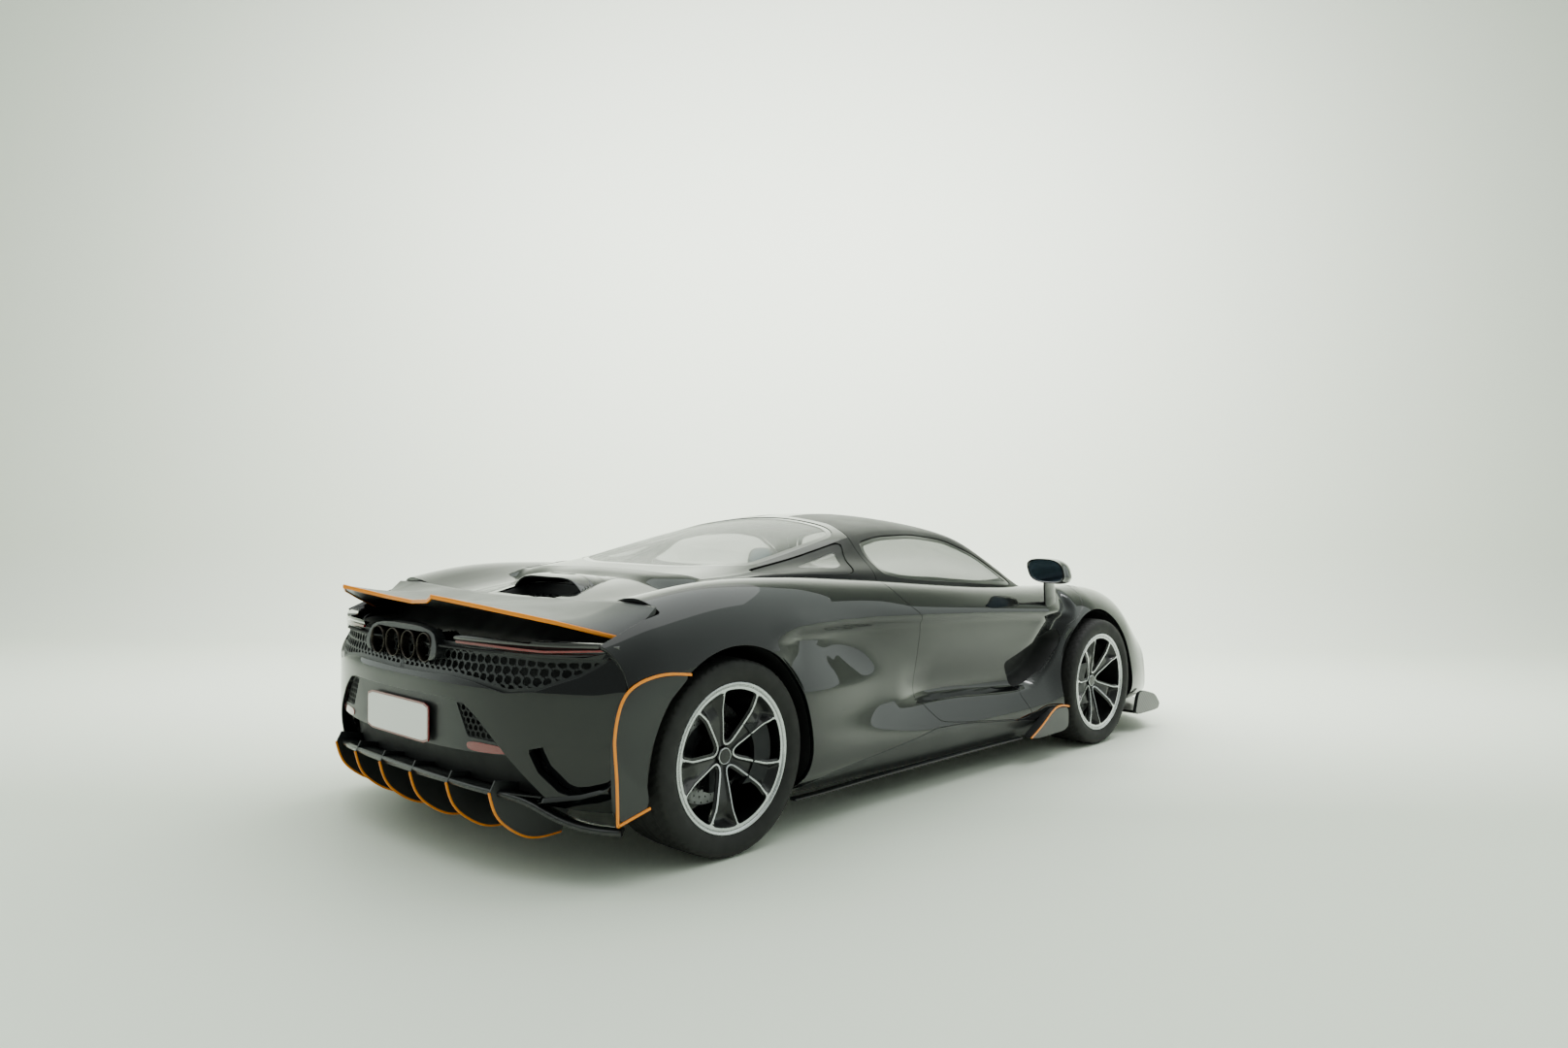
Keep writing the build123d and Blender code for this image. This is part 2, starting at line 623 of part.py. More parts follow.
with BuildPart() as engine_cover:
    add(body_shell)
    add(over(ENGINE_COVER, 600, 1000), mode=Mode.INTERSECT)
    for side in (1, -1):
        form, duct = vent(side)
        with BuildPart(mode=Mode.PRIVATE) as raised:
            add(form)
            add(body_inner, mode=Mode.SUBTRACT)
            add(over(ENGINE_COVER, 600, 1000), mode=Mode.INTERSECT)
        add(raised.part)
        add(duct, mode=Mode.SUBTRACT)
        for k in range(3):
            x = -1500 - 52 * k
            y = side * (250 + 26 * k)
            add(slab((x, x + 18), (y - 55, y + 55), (860, 1000)), mode=Mode.SUBTRACT)
save(engine_cover, "engine_cover")

with BuildPart() as diffuser:
    add(body_shell)
    floor_half = floor_half_width - seat_clearance
    add(slab((-2400, tub_x[0] - seat_clearance), (-floor_half, floor_half),
             (0, rear_floor_top - seat_clearance)), mode=Mode.INTERSECT)
    for side in (1, -1):
        add(drum(*rear_arch[:2], rear_arch_radius + liner_wall + 1, rear_liner_y - 20, 1100, side),
            mode=Mode.SUBTRACT)
    add(behind(both_halves(RECESS), -2400, -2040), mode=Mode.SUBTRACT)
    with BuildPart(mode=Mode.PRIVATE) as recess_foot:
        add(recess_shell)
        add(recess_collar(RECESS_COLLAR, RECESS, -2400, -2040))
        add(slab((-2400, -2040), (-652, 652), (300, rear_floor_top - seat_clearance)),
            mode=Mode.INTERSECT)
    add(recess_foot.part)
fin_spacing = 222
fin_thickness = 8
with BuildPart() as fins:
    with BuildSketch(Plane.XZ.offset(-2.5 * fin_spacing)):
        with BuildLine():
            Polyline((-2247, 268), (-2200, 190), (-2130, 130), (-2060, 106), (-1960, 106),
                     (-1900, 215), (-2100, 290), (-2225, 310), close=True)
        make_face()
    extrude(amount=fin_thickness / 2, both=True)
with BuildPart() as diffuser_finned:
    add(diffuser.part)
    with Locations([(0, -k * fin_spacing, 0) for k in range(6)]):
        add(fins.part)
save(diffuser_finned, "diffuser")

with BuildPart() as side_skirts:
    add(body_shell)
    add(slab((-1085, 850), (-1100, 1100), (0, 300)), mode=Mode.INTERSECT)
    add(beside(SKIRT, 1, -1000, 1000), mode=Mode.INTERSECT)
    add(slab((-1200, 1200), (-tub_half_width - seat_clearance, tub_half_width + seat_clearance),
             (0, 600)), mode=Mode.SUBTRACT)
    for side in (1, -1):
        add(drum(*rear_arch[:2], rear_arch_radius + liner_wall + 1, 100, 1100, side), mode=Mode.SUBTRACT)
        add(drum(*front_arch[:2], front_arch_radius + liner_wall + 1, 100, 1100, side),
            mode=Mode.SUBTRACT)
        with BuildPart(mode=Mode.PRIVATE) as blade:
            add(beside(SIDE_BLADE, side, 800, 958))
            add(body_outer, mode=Mode.SUBTRACT)
        add(blade.part)
save(side_skirts, "side_skirts")

with BuildPart() as aero_blades:
    for side in (1, -1):
        add(beside(REAR_BLADE, side, 900, 966))
        add(drum(*rear_arch[:2], rear_arch_radius, 800, 1100, side), mode=Mode.SUBTRACT)
    add(body_outer, mode=Mode.SUBTRACT)
save(aero_blades, "aero_blades")

# ---- doors ------------------------------------------------------------------------------
outlet_floor = 846           # the outlet's pocket reaches in to here, from the centre plane
for side, name in ((1, "left"), (-1, "right")):
    opening = door_space(side, 0)
    with BuildPart() as door:
        add(body_outer)
        add(beside(DOOR, side, 752, 1000), mode=Mode.INTERSECT)
        add(opening, mode=Mode.INTERSECT)
        add(slab((-600, 1200), (-1100, 1100), (0, 930)), mode=Mode.INTERSECT)
        add(door_inner, mode=Mode.SUBTRACT)
        add(house_outer, mode=Mode.SUBTRACT)
        add(drum(*front_arch[:2], front_arch_radius + liner_wall + 8, 100, 1100, side), mode=Mode.SUBTRACT)
        with BuildPart(mode=Mode.PRIVATE) as frame:
            add(house_shell)
            add(opening, mode=Mode.INTERSECT)
            add(beside(DOOR_WINDOW, side, 450, 1000), mode=Mode.SUBTRACT)
        add(frame.part)
        with BuildPart(mode=Mode.PRIVATE) as thinned:
            add(door_edge)
            add(slab((-600, -215), (-1100, 1100), (0, 930)), mode=Mode.INTERSECT)
            add(house_outer, mode=Mode.SUBTRACT)
        add(thinned.part, mode=Mode.SUBTRACT)
        add(beside(DOOR_OUTLET, side, outlet_floor, 1000), mode=Mode.SUBTRACT)
        add(hinge_rod(side, -60, seat_clearance - door_pin_end, door_pin + 4), mode=Mode.SUBTRACT)
        add(hinge_rod(side, seat_clearance - door_pin_end, 25, door_pin))
    save(door, f"door_{name}")
    with BuildPart() as pane:
        add(glass_shell)
        add(beside(DOOR_WINDOW, side, 450, 1000, -seat_clearance), mode=Mode.INTERSECT)
    save(pane, f"door_glass_{name}")

# ---- roof frame and fixed glass -------------------------------------------------------------
with BuildPart() as roof_frame:
    add(house_shell)
    add(slab((-1240, 1010), (-900, 900), (0, 1300)), mode=Mode.INTERSECT)
    add(door_gaps, mode=Mode.SUBTRACT)
    add(over(WINDSCREEN, 700, 1300), mode=Mode.SUBTRACT)
    add(over(REAR_WINDOW, 700, 1300), mode=Mode.SUBTRACT)
    for side in (1, -1):
        add(beside(QUARTER_WINDOW, side, 556, 1000), mode=Mode.SUBTRACT)
save(roof_frame, "roof_frame")

for name, outline in (("windscreen", WINDSCREEN), ("rear_window", REAR_WINDOW)):
    with BuildPart() as pane:
        add(glass_shell)
        add(over(outline, 700, 1300, -seat_clearance), mode=Mode.INTERSECT)
    save(pane, name)
with BuildPart() as quarter_windows:
    for side in (1, -1):
        with BuildPart(mode=Mode.PRIVATE) as pane:
            add(glass_shell)
            add(beside(QUARTER_WINDOW, side, 556, 1000, -seat_clearance), mode=Mode.INTERSECT)
        add(pane.part)
save(quarter_windows, "quarter_windows")

# ---- cabin ------------------------------------------------------------------------------
floor_top = 138
sill_height = 385
sill_inner = 600
bulkhead_wall = 40
bulkhead_top = 872
shelf_end = -1040
with BuildPart() as tub:
    add(slab((tub_x[0], tub_x[1]), (-tub_half_width, tub_half_width), (126, floor_top)))
    for side in (1, -1):
        near, far = sorted((side * sill_inner, side * tub_half_width))
        add(slab((tub_x[0], 800), (near, far), (floor_top, sill_height)))
    add(slab((tub_x[0], tub_x[0] + bulkhead_wall), (-tub_half_width, tub_half_width),
             (floor_top, bulkhead_top - 150)))
    add(slab((tub_x[0], tub_x[0] + bulkhead_wall), (-640, 640), (bulkhead_top - 150, bulkhead_top)))
    add(slab((shelf_end, tub_x[0] + bulkhead_wall), (-560, 560), (bulkhead_top, bulkhead_top + 14)))
    add(slab((tub_x[1] - 30, tub_x[1]), (-520, 520), (floor_top, 728)))
    for side in (1, -1):
        add(drum(*front_arch[:2], front_arch_radius + liner_wall + 6, 500, 1100, side),
            mode=Mode.SUBTRACT)
save(tub, "tub")

seat_y = 370
seat_half_width = 222
for side, name in ((1, "left"), (-1, "right")):
    with BuildPart() as seat:
        with BuildSketch(Plane.XZ.offset(-side * seat_y)):
            with BuildLine():
                Polyline((-430, 175), (120, 160), (150, 300), (60, 330), (-250, 275), (-330, 330),
                         (-455, 800), (-485, 905), (-505, 900),
                         (tub_x[0] + bulkhead_wall + seat_clearance, 700), (-500, 240), close=True)
            make_face()
        extrude(amount=seat_half_width, both=True)
        with BuildSketch(Plane.XZ.offset(-side * seat_y)):
            with BuildLine():
                Polyline((130, 340), (90, 380), (-215, 325), (-270, 380), (-395, 800), (-415, 1000),
                         (100, 1000), (200, 400), close=True)
            make_face()
        extrude(amount=150, both=True, mode=Mode.SUBTRACT)
        with BuildSketch(Plane.YZ.offset(0)):
            with Locations((side * seat_y, 820)):
                Trapezoid(760, 260, 68)
            with Locations((side * seat_y, 560)):
                Rectangle(760, 260.1)
            with Locations((side * seat_y, 300)):
                Rectangle(480, 300)
        extrude(amount=600, both=True, mode=Mode.INTERSECT)
    save(seat, f"seat_{name}")

wheel_centre = (400, seat_y, 690)
steering_ring = 172
steering_grip = 15
column_length = 110
column = Plane(origin=wheel_centre, x_dir=(0, 1, 0), z_dir=(-0.9135, 0, 0.4067))
with BuildPart() as dashboard:
    with BuildSketch(Plane.XZ):
        with BuildLine():
            Polyline((tub_x[1] - 30 - seat_clearance, 640), (940, 735), (760, 768), (600, 755), (540, 700), (560, 620),
                     (700, 560), close=True)
        make_face()
    extrude(amount=480, both=True)
    add(slab((-480, 700), (-75, 75), (floor_top + seat_clearance, 330)))
    add(slab((300, 620), (-75, 75), (329, 400)))
    add(slab((560, 640), (-75, 75), (399, 640)))
    add(house_outer - house_loft(frame_wall + 14), mode=Mode.SUBTRACT)
    with BuildSketch(column.offset(-18 - column_length - seat_clearance)):
        Circle(34)
    extrude(amount=-90)
save(dashboard, "dashboard")

with BuildPart() as steering_wheel:
    with BuildSketch(Plane(column.origin, x_dir=column.z_dir, z_dir=column.x_dir)):
        with Locations((0, steering_ring)):
            Circle(steering_grip)
    revolve(axis=Axis(column.origin, column.z_dir), revolution_arc=360)
    with BuildSketch(column.offset(-18)):
        Circle(58)
        Rectangle(2 * steering_ring - 10, 38)
        with Locations((0, -steering_ring / 2)):
            Rectangle(34, steering_ring - 10)
    extrude(amount=26)
    with BuildSketch(column.offset(-18)):
        Circle(24)
    extrude(amount=-column_length)
save(steering_wheel, "steering_wheel")

# ---- engine, exhaust and the tail's fittings ----------------------------------------------
gearbox_side = 190
silencer_front = -1780
with BuildPart() as engine_block:
    add(slab((-1130, tub_x[0] - seat_clearance), (-300, 300), (175, 690)))
    add(slab((-1620, -1130), (-gearbox_side, gearbox_side), (208, 500)))
    # hanger of the silencer
    add(slab((silencer_front + seat_clearance, -1600), (-60, 60), (480, 500)))
    add(slab((silencer_front + seat_clearance, silencer_front + 16), (-60, 60), (500, 700)))
save(engine_block, "engine_block")

with BuildPart() as exhaust:
    add(slab((-2000, silencer_front), (-280, 280), (655, 772)))
    for k in (-1.5, -0.5, 0.5, 1.5):
        with BuildSketch(Plane.YZ.offset(-2000)):
            with Locations((k * pipe_spacing, pipe_z)):
                Circle(pipe_radius)
        extrude(amount=-238)
        with BuildSketch(Plane.YZ.offset(-2238)):
            with Locations((k * pipe_spacing, pipe_z)):
                Circle(pipe_radius - pipe_wall)
        extrude(amount=200, mode=Mode.SUBTRACT)
save(exhaust, "exhaust")

hole_pitch = 52
hole_radius = 18
with BuildPart() as rear_grille:
    add(body_loft(6))
    add(body_inner, mode=Mode.SUBTRACT)
    add(behind(REAR_GRILLE, -2400, -1890), mode=Mode.INTERSECT)
    add(pipe_slot(500), mode=Mode.SUBTRACT)
    add(wing_room, mode=Mode.SUBTRACT)
    with BuildPart(mode=Mode.PRIVATE) as holes:
        with BuildSketch(Plane.YZ.offset(-2400)):
            for side in (1, -1):
                for row in range(2):
                    for k in range(7 + row):
                        y = 330 + (k + 0.5 - row / 2) * hole_pitch
                        with Locations((side * y, 668 + row * 0.866 * hole_pitch)):
                            RegularPolygon(hole_radius, 6)
        extrude(amount=520)
    add(holes.part, mode=Mode.SUBTRACT)
save(rear_grille, "rear_grille")

# ---- rear wing ----------------------------------------------------------------------------
with BuildPart() as wing:
    add(wing_form(0, wing_thickness, 0))
    for side in (1, -1):
        add(drum(*wing_pivot, hinge_eye + 10, ram_y - eye_width, ram_y + eye_width, side),
            mode=Mode.SUBTRACT)
        for near in (ram_y - eye_width - 9, ram_y + eye_width):
            add(drum(*wing_pivot, hinge_eye - 1, near, near + 9, side))
save(wing, "wing")

with BuildPart() as wing_rams:
    for side in (1, -1):
        add(drum(*wing_pivot, hinge_eye - 2, ram_y - eye_width + seat_clearance,
                 ram_y + eye_width - seat_clearance, side))
        with BuildSketch(Plane.XY.offset(640)):
            with Locations((wing_pivot[0], side * ram_y)):
                Circle(ram_radius)
        extrude(amount=wing_pivot[1] - 640)
save(wing_rams, "wing_rams")

# ---- lamps, plate and mirrors ---------------------------------------------------------------
with BuildPart() as tail_lamps:
    for side in (1, -1):
        with BuildPart(mode=Mode.PRIVATE) as lamp:
            add(body_loft(2))
            add(body_inner, mode=Mode.SUBTRACT)
            add(behind(TAIL_LAMP, -2400, -1890, side), mode=Mode.INTERSECT)
        add(lamp.part)
save(tail_lamps, "tail_lamps")

with BuildPart() as headlamps:
    for side in (1, -1):
        with BuildPart(mode=Mode.PRIVATE) as lamp:
            add(body_outer)
            add(body_inner, mode=Mode.SUBTRACT)
            add(lamp_column(side, -seat_clearance), mode=Mode.INTERSECT)
        add(lamp.part)
save(headlamps, "headlamps")

with BuildPart() as number_plate:
    with BuildSketch(Plane.YZ.offset(carrier_x - 9 - seat_clearance)):
        with Locations((0, plate_z)):
            RectangleRounded(plate_width, plate_height, 12)
    extrude(amount=9)
save(number_plate, "number_plate")

for side, name in ((1, "left"), (-1, "right")):
    with BuildPart() as mirror:
        for x, grow in ((588, 0.93), (610, 1.0), (660, 0.86), (705, 0.5)):
            with BuildSketch(Plane.YZ.offset(x)):
                with Locations((side * 968, 930)):
                    Ellipse(98 * grow, 56 * grow)
        loft(ruled=True)
        with BuildSketch(Plane((672, side * 925, 905), z_dir=(-0.45, side * 0.27, 0.85))):
            Ellipse(34, 16)
        extrude(amount=-205)
        with BuildPart(mode=Mode.PRIVATE) as keep_out:
            add(body_outer)
        add(keep_out.part, mode=Mode.SUBTRACT)
    save(mirror, f"mirror_{name}")

# ---- front splitter and luggage tub ---------------------------------------------------------
splitter_z = (98, 116)
with BuildPart() as front_splitter:
    with BuildSketch(Plane.XY.offset(splitter_z[0])):
        with BuildLine():
            edge = Spline((1640, 935), (1900, 880), (2130, 640), (2270, 300), (2300, 0),
                          (2270, -300), (2130, -640), (1900, -880), (1640, -935))
            Polyline(edge @ 1, (1640, -760), (1840, -600), (1840, 600), (1640, 760), edge @ 0)
        make_face()
    extrude(amount=splitter_z[1] - splitter_z[0])
    for side in (1, -1):
        add(beside(SPLITTER_END, side, 890, 948))
    add(body_outer, mode=Mode.SUBTRACT)
save(front_splitter, "front_splitter")

bay_wall = 5
bay_x = (1170, 1860)
bay_half_width = 400
bay_z = (255, 500)
with BuildPart() as luggage_tub:
    add(slab(bay_x, (-bay_half_width, bay_half_width), bay_z))
    add(slab((bay_x[0] + bay_wall, bay_x[1] - bay_wall),
             (-bay_half_width + bay_wall, bay_half_width - bay_wall), (bay_z[0] + bay_wall, 700)),
        mode=Mode.SUBTRACT)
save(luggage_tub, "luggage_tub")

# ---- wheels, brakes and hubs ----------------------------------------------------------------
spoke_count = 5
face_thickness = 26
hub_radius = 74


def petal_window(barrel):
    """Outline of one wide window of the wheel's face, along its local X."""
    near = hub_radius + 10
    far = barrel - 10
    with BuildSketch(mode=Mode.PRIVATE) as window:
        with BuildLine():
            Spline((near, 0), (near + 16, 24), (far * 0.64, 52), (far * 0.84, 72), (far * 0.95, 54),
                   (far, 0), (far * 0.95, -54), (far * 0.84, -72), (far * 0.64, -52), (near + 16, -24),
                   (near, 0))
        make_face()
    return window.sketch


def rim_window(barrel):
    """Outline of one small window at the rim, where a spoke forks."""
    far = barrel - 10
    with BuildSketch(mode=Mode.PRIVATE) as window:
        with BuildLine():
            Polyline((far * 0.62, 0), (far * 0.92, 32), (far * 0.98, 18), (far * 0.995, 0),
                     (far * 0.98, -18), (far * 0.92, -32), close=True)
        make_face()
    return window.sketch


def make_tyre(x, radius, width, rim_radius, side, name):
    """A tyre revolved about its axle: flat tread, rounded shoulders and bulged walls."""
    half = width / 2
    middle = tyre_face_y - half
    wall = radius - rim_radius
    profile = [(-half + 19, rim_radius), (-half + 16, rim_radius + rim_lip + 2), (-half + 1, rim_radius + wall * 0.5),
               (-half, rim_radius + wall * 0.66), (-half + 14, radius - 9), (-half + 34, radius)]
    profile += [(-y, z) for y, z in reversed(profile)]
    with BuildPart() as tyre:
        with BuildSketch(Plane(origin=(x, side * middle, radius), x_dir=(0, 1, 0), z_dir=(1, 0, 0))):
            with BuildLine():
                Polyline(*profile, close=True)
            make_face()
        revolve(axis=Axis((x, 0, radius), (0, 1, 0)))
    save(tyre, name)


def make_rim(x, radius, width, rim_radius, side, name):
    """A rim: barrel and lips, a dished face with five wide windows, and the hub's spindle."""
    half = width / 2
    middle = tyre_face_y - half
    seat = rim_radius - seat_clearance
    face = half - 12
    profile = [(-half + 17, seat), (half - 17, seat), (half - 14, seat + rim_lip), (half - 6, seat + rim_lip),
               (half - 4, seat + rim_lip - 6), (half - 8, seat - barrel_wall), (face - 18, seat - barrel_wall - 4),
               (-half + 8, seat - barrel_wall), (-half + 6, seat + rim_lip), (-half + 14, seat + rim_lip)]
    axle = Axis((x, 0, radius), (0, side, 0))
    outer_plane = Plane(origin=(x, side * (middle + face), radius), x_dir=(1, 0, 0), z_dir=(0, side, 0))
    with BuildPart() as rim:
        with BuildSketch(Plane(origin=(x, side * middle, radius), x_dir=(0, side, 0), z_dir=(side, 0, 0))):
            with BuildLine():
                Polyline(*profile, close=True)
            make_face()
        revolve(axis=axle)
        with BuildSketch(outer_plane):
            Circle(seat - barrel_wall + 1)
            with PolarLocations(0, spoke_count):
                add(petal_window(seat - barrel_wall), mode=Mode.SUBTRACT)
            with PolarLocations(0, spoke_count, start_angle=180 / spoke_count):
                add(rim_window(seat - barrel_wall), mode=Mode.SUBTRACT)
        extrude(amount=-face_thickness)
        with BuildSketch(outer_plane):
            Circle(hub_radius + 1)
        extrude(amount=-face_thickness - 14)
        with BuildSketch(outer_plane):
            Circle(spindle_radius)
        extrude(amount=-(face + middle - steer_pin_y + 40))
    save(rim, name)
    return middle + face - face_thickness - 14


def make_disc(x, z, disc_radius, hat_y, side, name):
    """A brake disc on its hat, seated behind the rim's hub."""
    with BuildPart() as disc:
        with BuildSketch(Plane.XZ.offset(-side * (hat_y - seat_clearance))):
            with Locations((x, z)):
                Circle(hub_radius)
                Circle(spindle_radius + seat_clearance, mode=Mode.SUBTRACT)
        extrude(amount=side * 44)
        with BuildSketch(Plane.XZ.offset(-side * (hat_y - 12))):
            with Locations((x, z)):
                Circle(disc_radius)
                Circle(hub_radius - 8, mode=Mode.SUBTRACT)
        extrude(amount=side * disc_thickness)
        with BuildSketch(Plane.XZ.offset(-side * (hat_y - 8))):
            with Locations((x, z)):
                Circle(hub_radius - 10)
                Circle(spindle_radius + seat_clearance, mode=Mode.SUBTRACT)
        extrude(amount=side * 60, mode=Mode.SUBTRACT)
    save(disc, name)


caliper_gap = 3
hats = {}
for end, x, radius, width, rim_radius in (
        ("front", front_axle_x, front_tyre_radius, front_tyre_width, front_rim_radius),
        ("rear", rear_axle_x, rear_tyre_radius, rear_tyre_width, rear_rim_radius)):
    for side, name in ((1, "left"), (-1, "right")):
        make_tyre(x, radius, width, rim_radius, side, f"tyre_{end}_{name}")
        hats[end] = make_rim(x, radius, width, rim_radius, side, f"rim_{end}_{name}")
        disc_radius = front_disc_radius if end == "front" else rear_disc_radius
        make_disc(x, radius, disc_radius, hats[end], side, f"brake_disc_{end}_{name}")


def caliper(x, z, disc_radius, hat_y, side, direction):
    """A caliper straddling the disc, as a block bent over its edge."""
    outer = hat_y - 12
    inner = outer - disc_thickness
    with BuildPart(mode=Mode.PRIVATE) as block:
        with BuildSketch(Plane.XZ.offset(-side * (inner - 34))):
            with Locations((x, z)):
                Circle(disc_radius + 20)
                Circle(disc_radius - 62, mode=Mode.SUBTRACT)
            with Locations((x + direction * 500, z)):
                Rectangle(1000, 210, mode=Mode.INTERSECT)
        extrude(amount=-side * (outer + 26 - inner + 34))
        with BuildSketch(Plane.XZ.offset(-side * (inner - caliper_gap))):
            with Locations((x, z)):
                Circle(disc_radius + caliper_gap)
        extrude(amount=-side * (disc_thickness + 2 * caliper_gap), mode=Mode.SUBTRACT)
    return block.part


joint_rise = 118             # ball joints stand this far above and below the wheel's centre
knuckle_y = (742, 800)


def knuckle(x, z, disc_radius, hat_y, side, direction, reach):
    """An upright: bearing housing, ball joint arms, and the caliper with its bracket."""
    with BuildPart(mode=Mode.PRIVATE) as upright:
        add(drum(x, z, 58, reach[0], reach[1], side))
        near, far = sorted((side * (reach[1] - 30), side * reach[1]))
        add(slab((x - 24, x + 24), (near, far), (z - joint_rise - 18, z + joint_rise + 18)))
        ends = sorted((x, x + direction * (disc_radius - 20)))
        add(slab(ends, (near, far), (z - 45, z + 45)))
        add(caliper(x, z, disc_radius, hat_y, side, direction))
        add(drum(x, z, spindle_radius + bore_clearance, 0, 1000, side), mode=Mode.SUBTRACT)
    return upright.part


arm_radius = 13
for side, name in ((1, "left"), (-1, "right")):
    with BuildPart() as front_knuckle:
        add(knuckle(front_axle_x, front_tyre_radius, front_disc_radius, hats["front"], side, -1,
                    (hats["front"] - 130, hats["front"] - 62)))
    save(front_knuckle, f"front_knuckle_{name}")


beam_y = (bay_half_width + seat_clearance, bay_half_width + 40)
with BuildPart() as front_suspension:
    for side in (1, -1):
        near, far = sorted((side * beam_y[0], side * beam_y[1]))
        add(slab((tub_x[1] + seat_clearance, 1330), (near, far), (184, 490)))
        for rise in (-1, 1):
            z = front_tyre_radius + rise * (joint_rise + 18 + arm_radius + 1)
            with BuildPart(mode=Mode.PRIVATE) as eye:
                with BuildSketch(Plane.XY.offset(z - arm_radius)):
                    with Locations((front_axle_x, side * steer_pin_y)):
                        Circle(20)
                extrude(amount=2 * arm_radius)
            add(eye.part)
            for spread in (-1, 1):
                add(rod((front_axle_x, side * steer_pin_y, z),
                        (front_axle_x + spread * 95, side * (beam_y[1] - 10), z - rise * 24), arm_radius))
save(front_suspension, "front_suspension")

shaft_radius = 16
with BuildPart() as rear_suspension:
    for side in (1, -1):
        add(knuckle(rear_axle_x, rear_tyre_radius, rear_disc_radius, hats["rear"], side, 1,
                    (hats["rear"] - 130, hats["rear"] - 62)))
        for rise in (-1, 1):
            z = rear_tyre_radius + rise * joint_rise
            for spread in (-1, 1):
                add(rod((rear_axle_x, side * steer_pin_y, z),
                        (rear_axle_x + spread * 100, side * (gearbox_side + seat_clearance), z), arm_radius))
        add(rod((rear_axle_x, side * (gearbox_side + seat_clearance), rear_tyre_radius),
                (rear_axle_x, side * (steer_pin_y - 50), rear_tyre_radius), shaft_radius))
    add(slab((-1720, -1130), (-gearbox_side - seat_clearance, gearbox_side + seat_clearance), (100, 600)),
        mode=Mode.SUBTRACT)
save(rear_suspension, "rear_suspension")
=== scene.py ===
"""The looks of a mid-engined two-seat supercar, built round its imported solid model.

Lengths in the tables are millimetres in the car's own frame: X forward, Y to the car's left,
Z up, with the origin on the ground under the middle of the car.
"""
import functools
import math

import bpy
import numpy as np
from mathutils import Matrix, Vector
from mathutils.geometry import tessellate_polygon


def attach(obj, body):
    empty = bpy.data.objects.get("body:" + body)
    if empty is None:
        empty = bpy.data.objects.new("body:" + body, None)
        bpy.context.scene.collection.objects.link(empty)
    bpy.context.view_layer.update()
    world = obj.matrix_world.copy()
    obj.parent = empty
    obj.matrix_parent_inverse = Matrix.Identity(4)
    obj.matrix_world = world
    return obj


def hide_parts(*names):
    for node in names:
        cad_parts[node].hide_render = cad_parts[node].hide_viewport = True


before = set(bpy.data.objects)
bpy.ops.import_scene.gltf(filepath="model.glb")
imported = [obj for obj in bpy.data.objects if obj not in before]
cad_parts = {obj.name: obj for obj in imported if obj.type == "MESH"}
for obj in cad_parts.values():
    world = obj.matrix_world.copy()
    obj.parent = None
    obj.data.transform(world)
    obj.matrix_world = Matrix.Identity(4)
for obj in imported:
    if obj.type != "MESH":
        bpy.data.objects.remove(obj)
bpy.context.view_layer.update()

bl_info = {
    "name": "Supercar looks",
    "version": (1, 0, 0),
    "blender": (4, 5, 0),
    "location": "View3D > Sidebar > Supercar",
    "description": "Skins, wheels, cabin, lamps and finishes of a two-seat supercar",
    "category": "Object",
}

MM = 0.001
SIDES = ((1, "left"), (-1, "right"))

# ---- sizes shared with the solid model ---------------------------------------------------
FRONT_AXLE = 1192.0
REAR_AXLE = -1478.0
TYRE_FACE = 955.0
FRONT_TYRE = (327.0, 245.0, 243.0)      # radius, width, seat radius
REAR_TYRE = (345.5, 305.0, 255.0)
ARCH_LIFT = 9.0
FRONT_ARCH = (FRONT_AXLE, FRONT_TYRE[0] + ARCH_LIFT, 376.0)
REAR_ARCH = (REAR_AXLE, REAR_TYRE[0] + ARCH_LIFT, 388.0)
NOSE_X = 2268.0
TAIL_X = -2236.0
WING_PIVOT = (-1812.0, 858.0)           # x, z of the axle it tilts about
PIPE_END = TAIL_X + 8
PIPE_Z = 722.0
PIPE_SPACING = 113.0
SEAT_Y = 370.0
BODY = {
    -2240: [(640, 300), (760, 400), (830, 500), (860, 620), (840, 720), (700, 790), (450, 770), (0, 770)],
    -2000: [(760, 230), (880, 300), (930, 460), (940, 610), (900, 750), (770, 840), (480, 810), (0, 815)],
    -1800: [(800, 190), (920, 268), (958, 450), (962, 620), (926, 795), (785, 898), (500, 840), (0, 850)],
    -1478: [(820, 170), (950, 250), (965, 450), (965, 640), (935, 830), (798, 948), (570, 882), (0, 915)],
    -1100: [(850, 140), (948, 215), (962, 430), (960, 620), (935, 815), (810, 950), (665, 922), (0, 945)],
    -600: [(850, 128), (905, 225), (890, 400), (890, 590), (915, 770), (825, 915), (700, 925), (0, 930)],
    -200: [(850, 125), (888, 227), (852, 390), (868, 570), (908, 745), (825, 885), (700, 890), (0, 900)],
    300: [(852, 123), (893, 232), (852, 385), (868, 560), (905, 725), (815, 850), (690, 860), (0, 880)],
    700: [(858, 121), (920, 235), (890, 390), (895, 560), (905, 710), (805, 830), (640, 835), (0, 850)],
    950: [(845, 128), (946, 236), (945, 400), (925, 570), (905, 720), (795, 825), (560, 795), (0, 815)],
    1192: [(820, 140), (950, 240), (950, 400), (935, 580), (900, 735), (780, 822), (500, 745), (0, 760)],
    1550: [(795, 148), (935, 220), (940, 370), (920, 530), (865, 675), (745, 768), (462, 670), (0, 668)],
    1800: [(755, 147), (880, 200), (890, 340), (860, 470), (800, 580), (715, 662), (440, 595), (0, 587)],
    2000: [(700, 140), (800, 200), (810, 310), (780, 410), (720, 485), (660, 540), (408, 522), (0, 520)],
    2290: [(450, 135), (500, 190), (510, 280), (500, 330), (480, 370), (430, 390), (280, 412), (0, 415)],
}
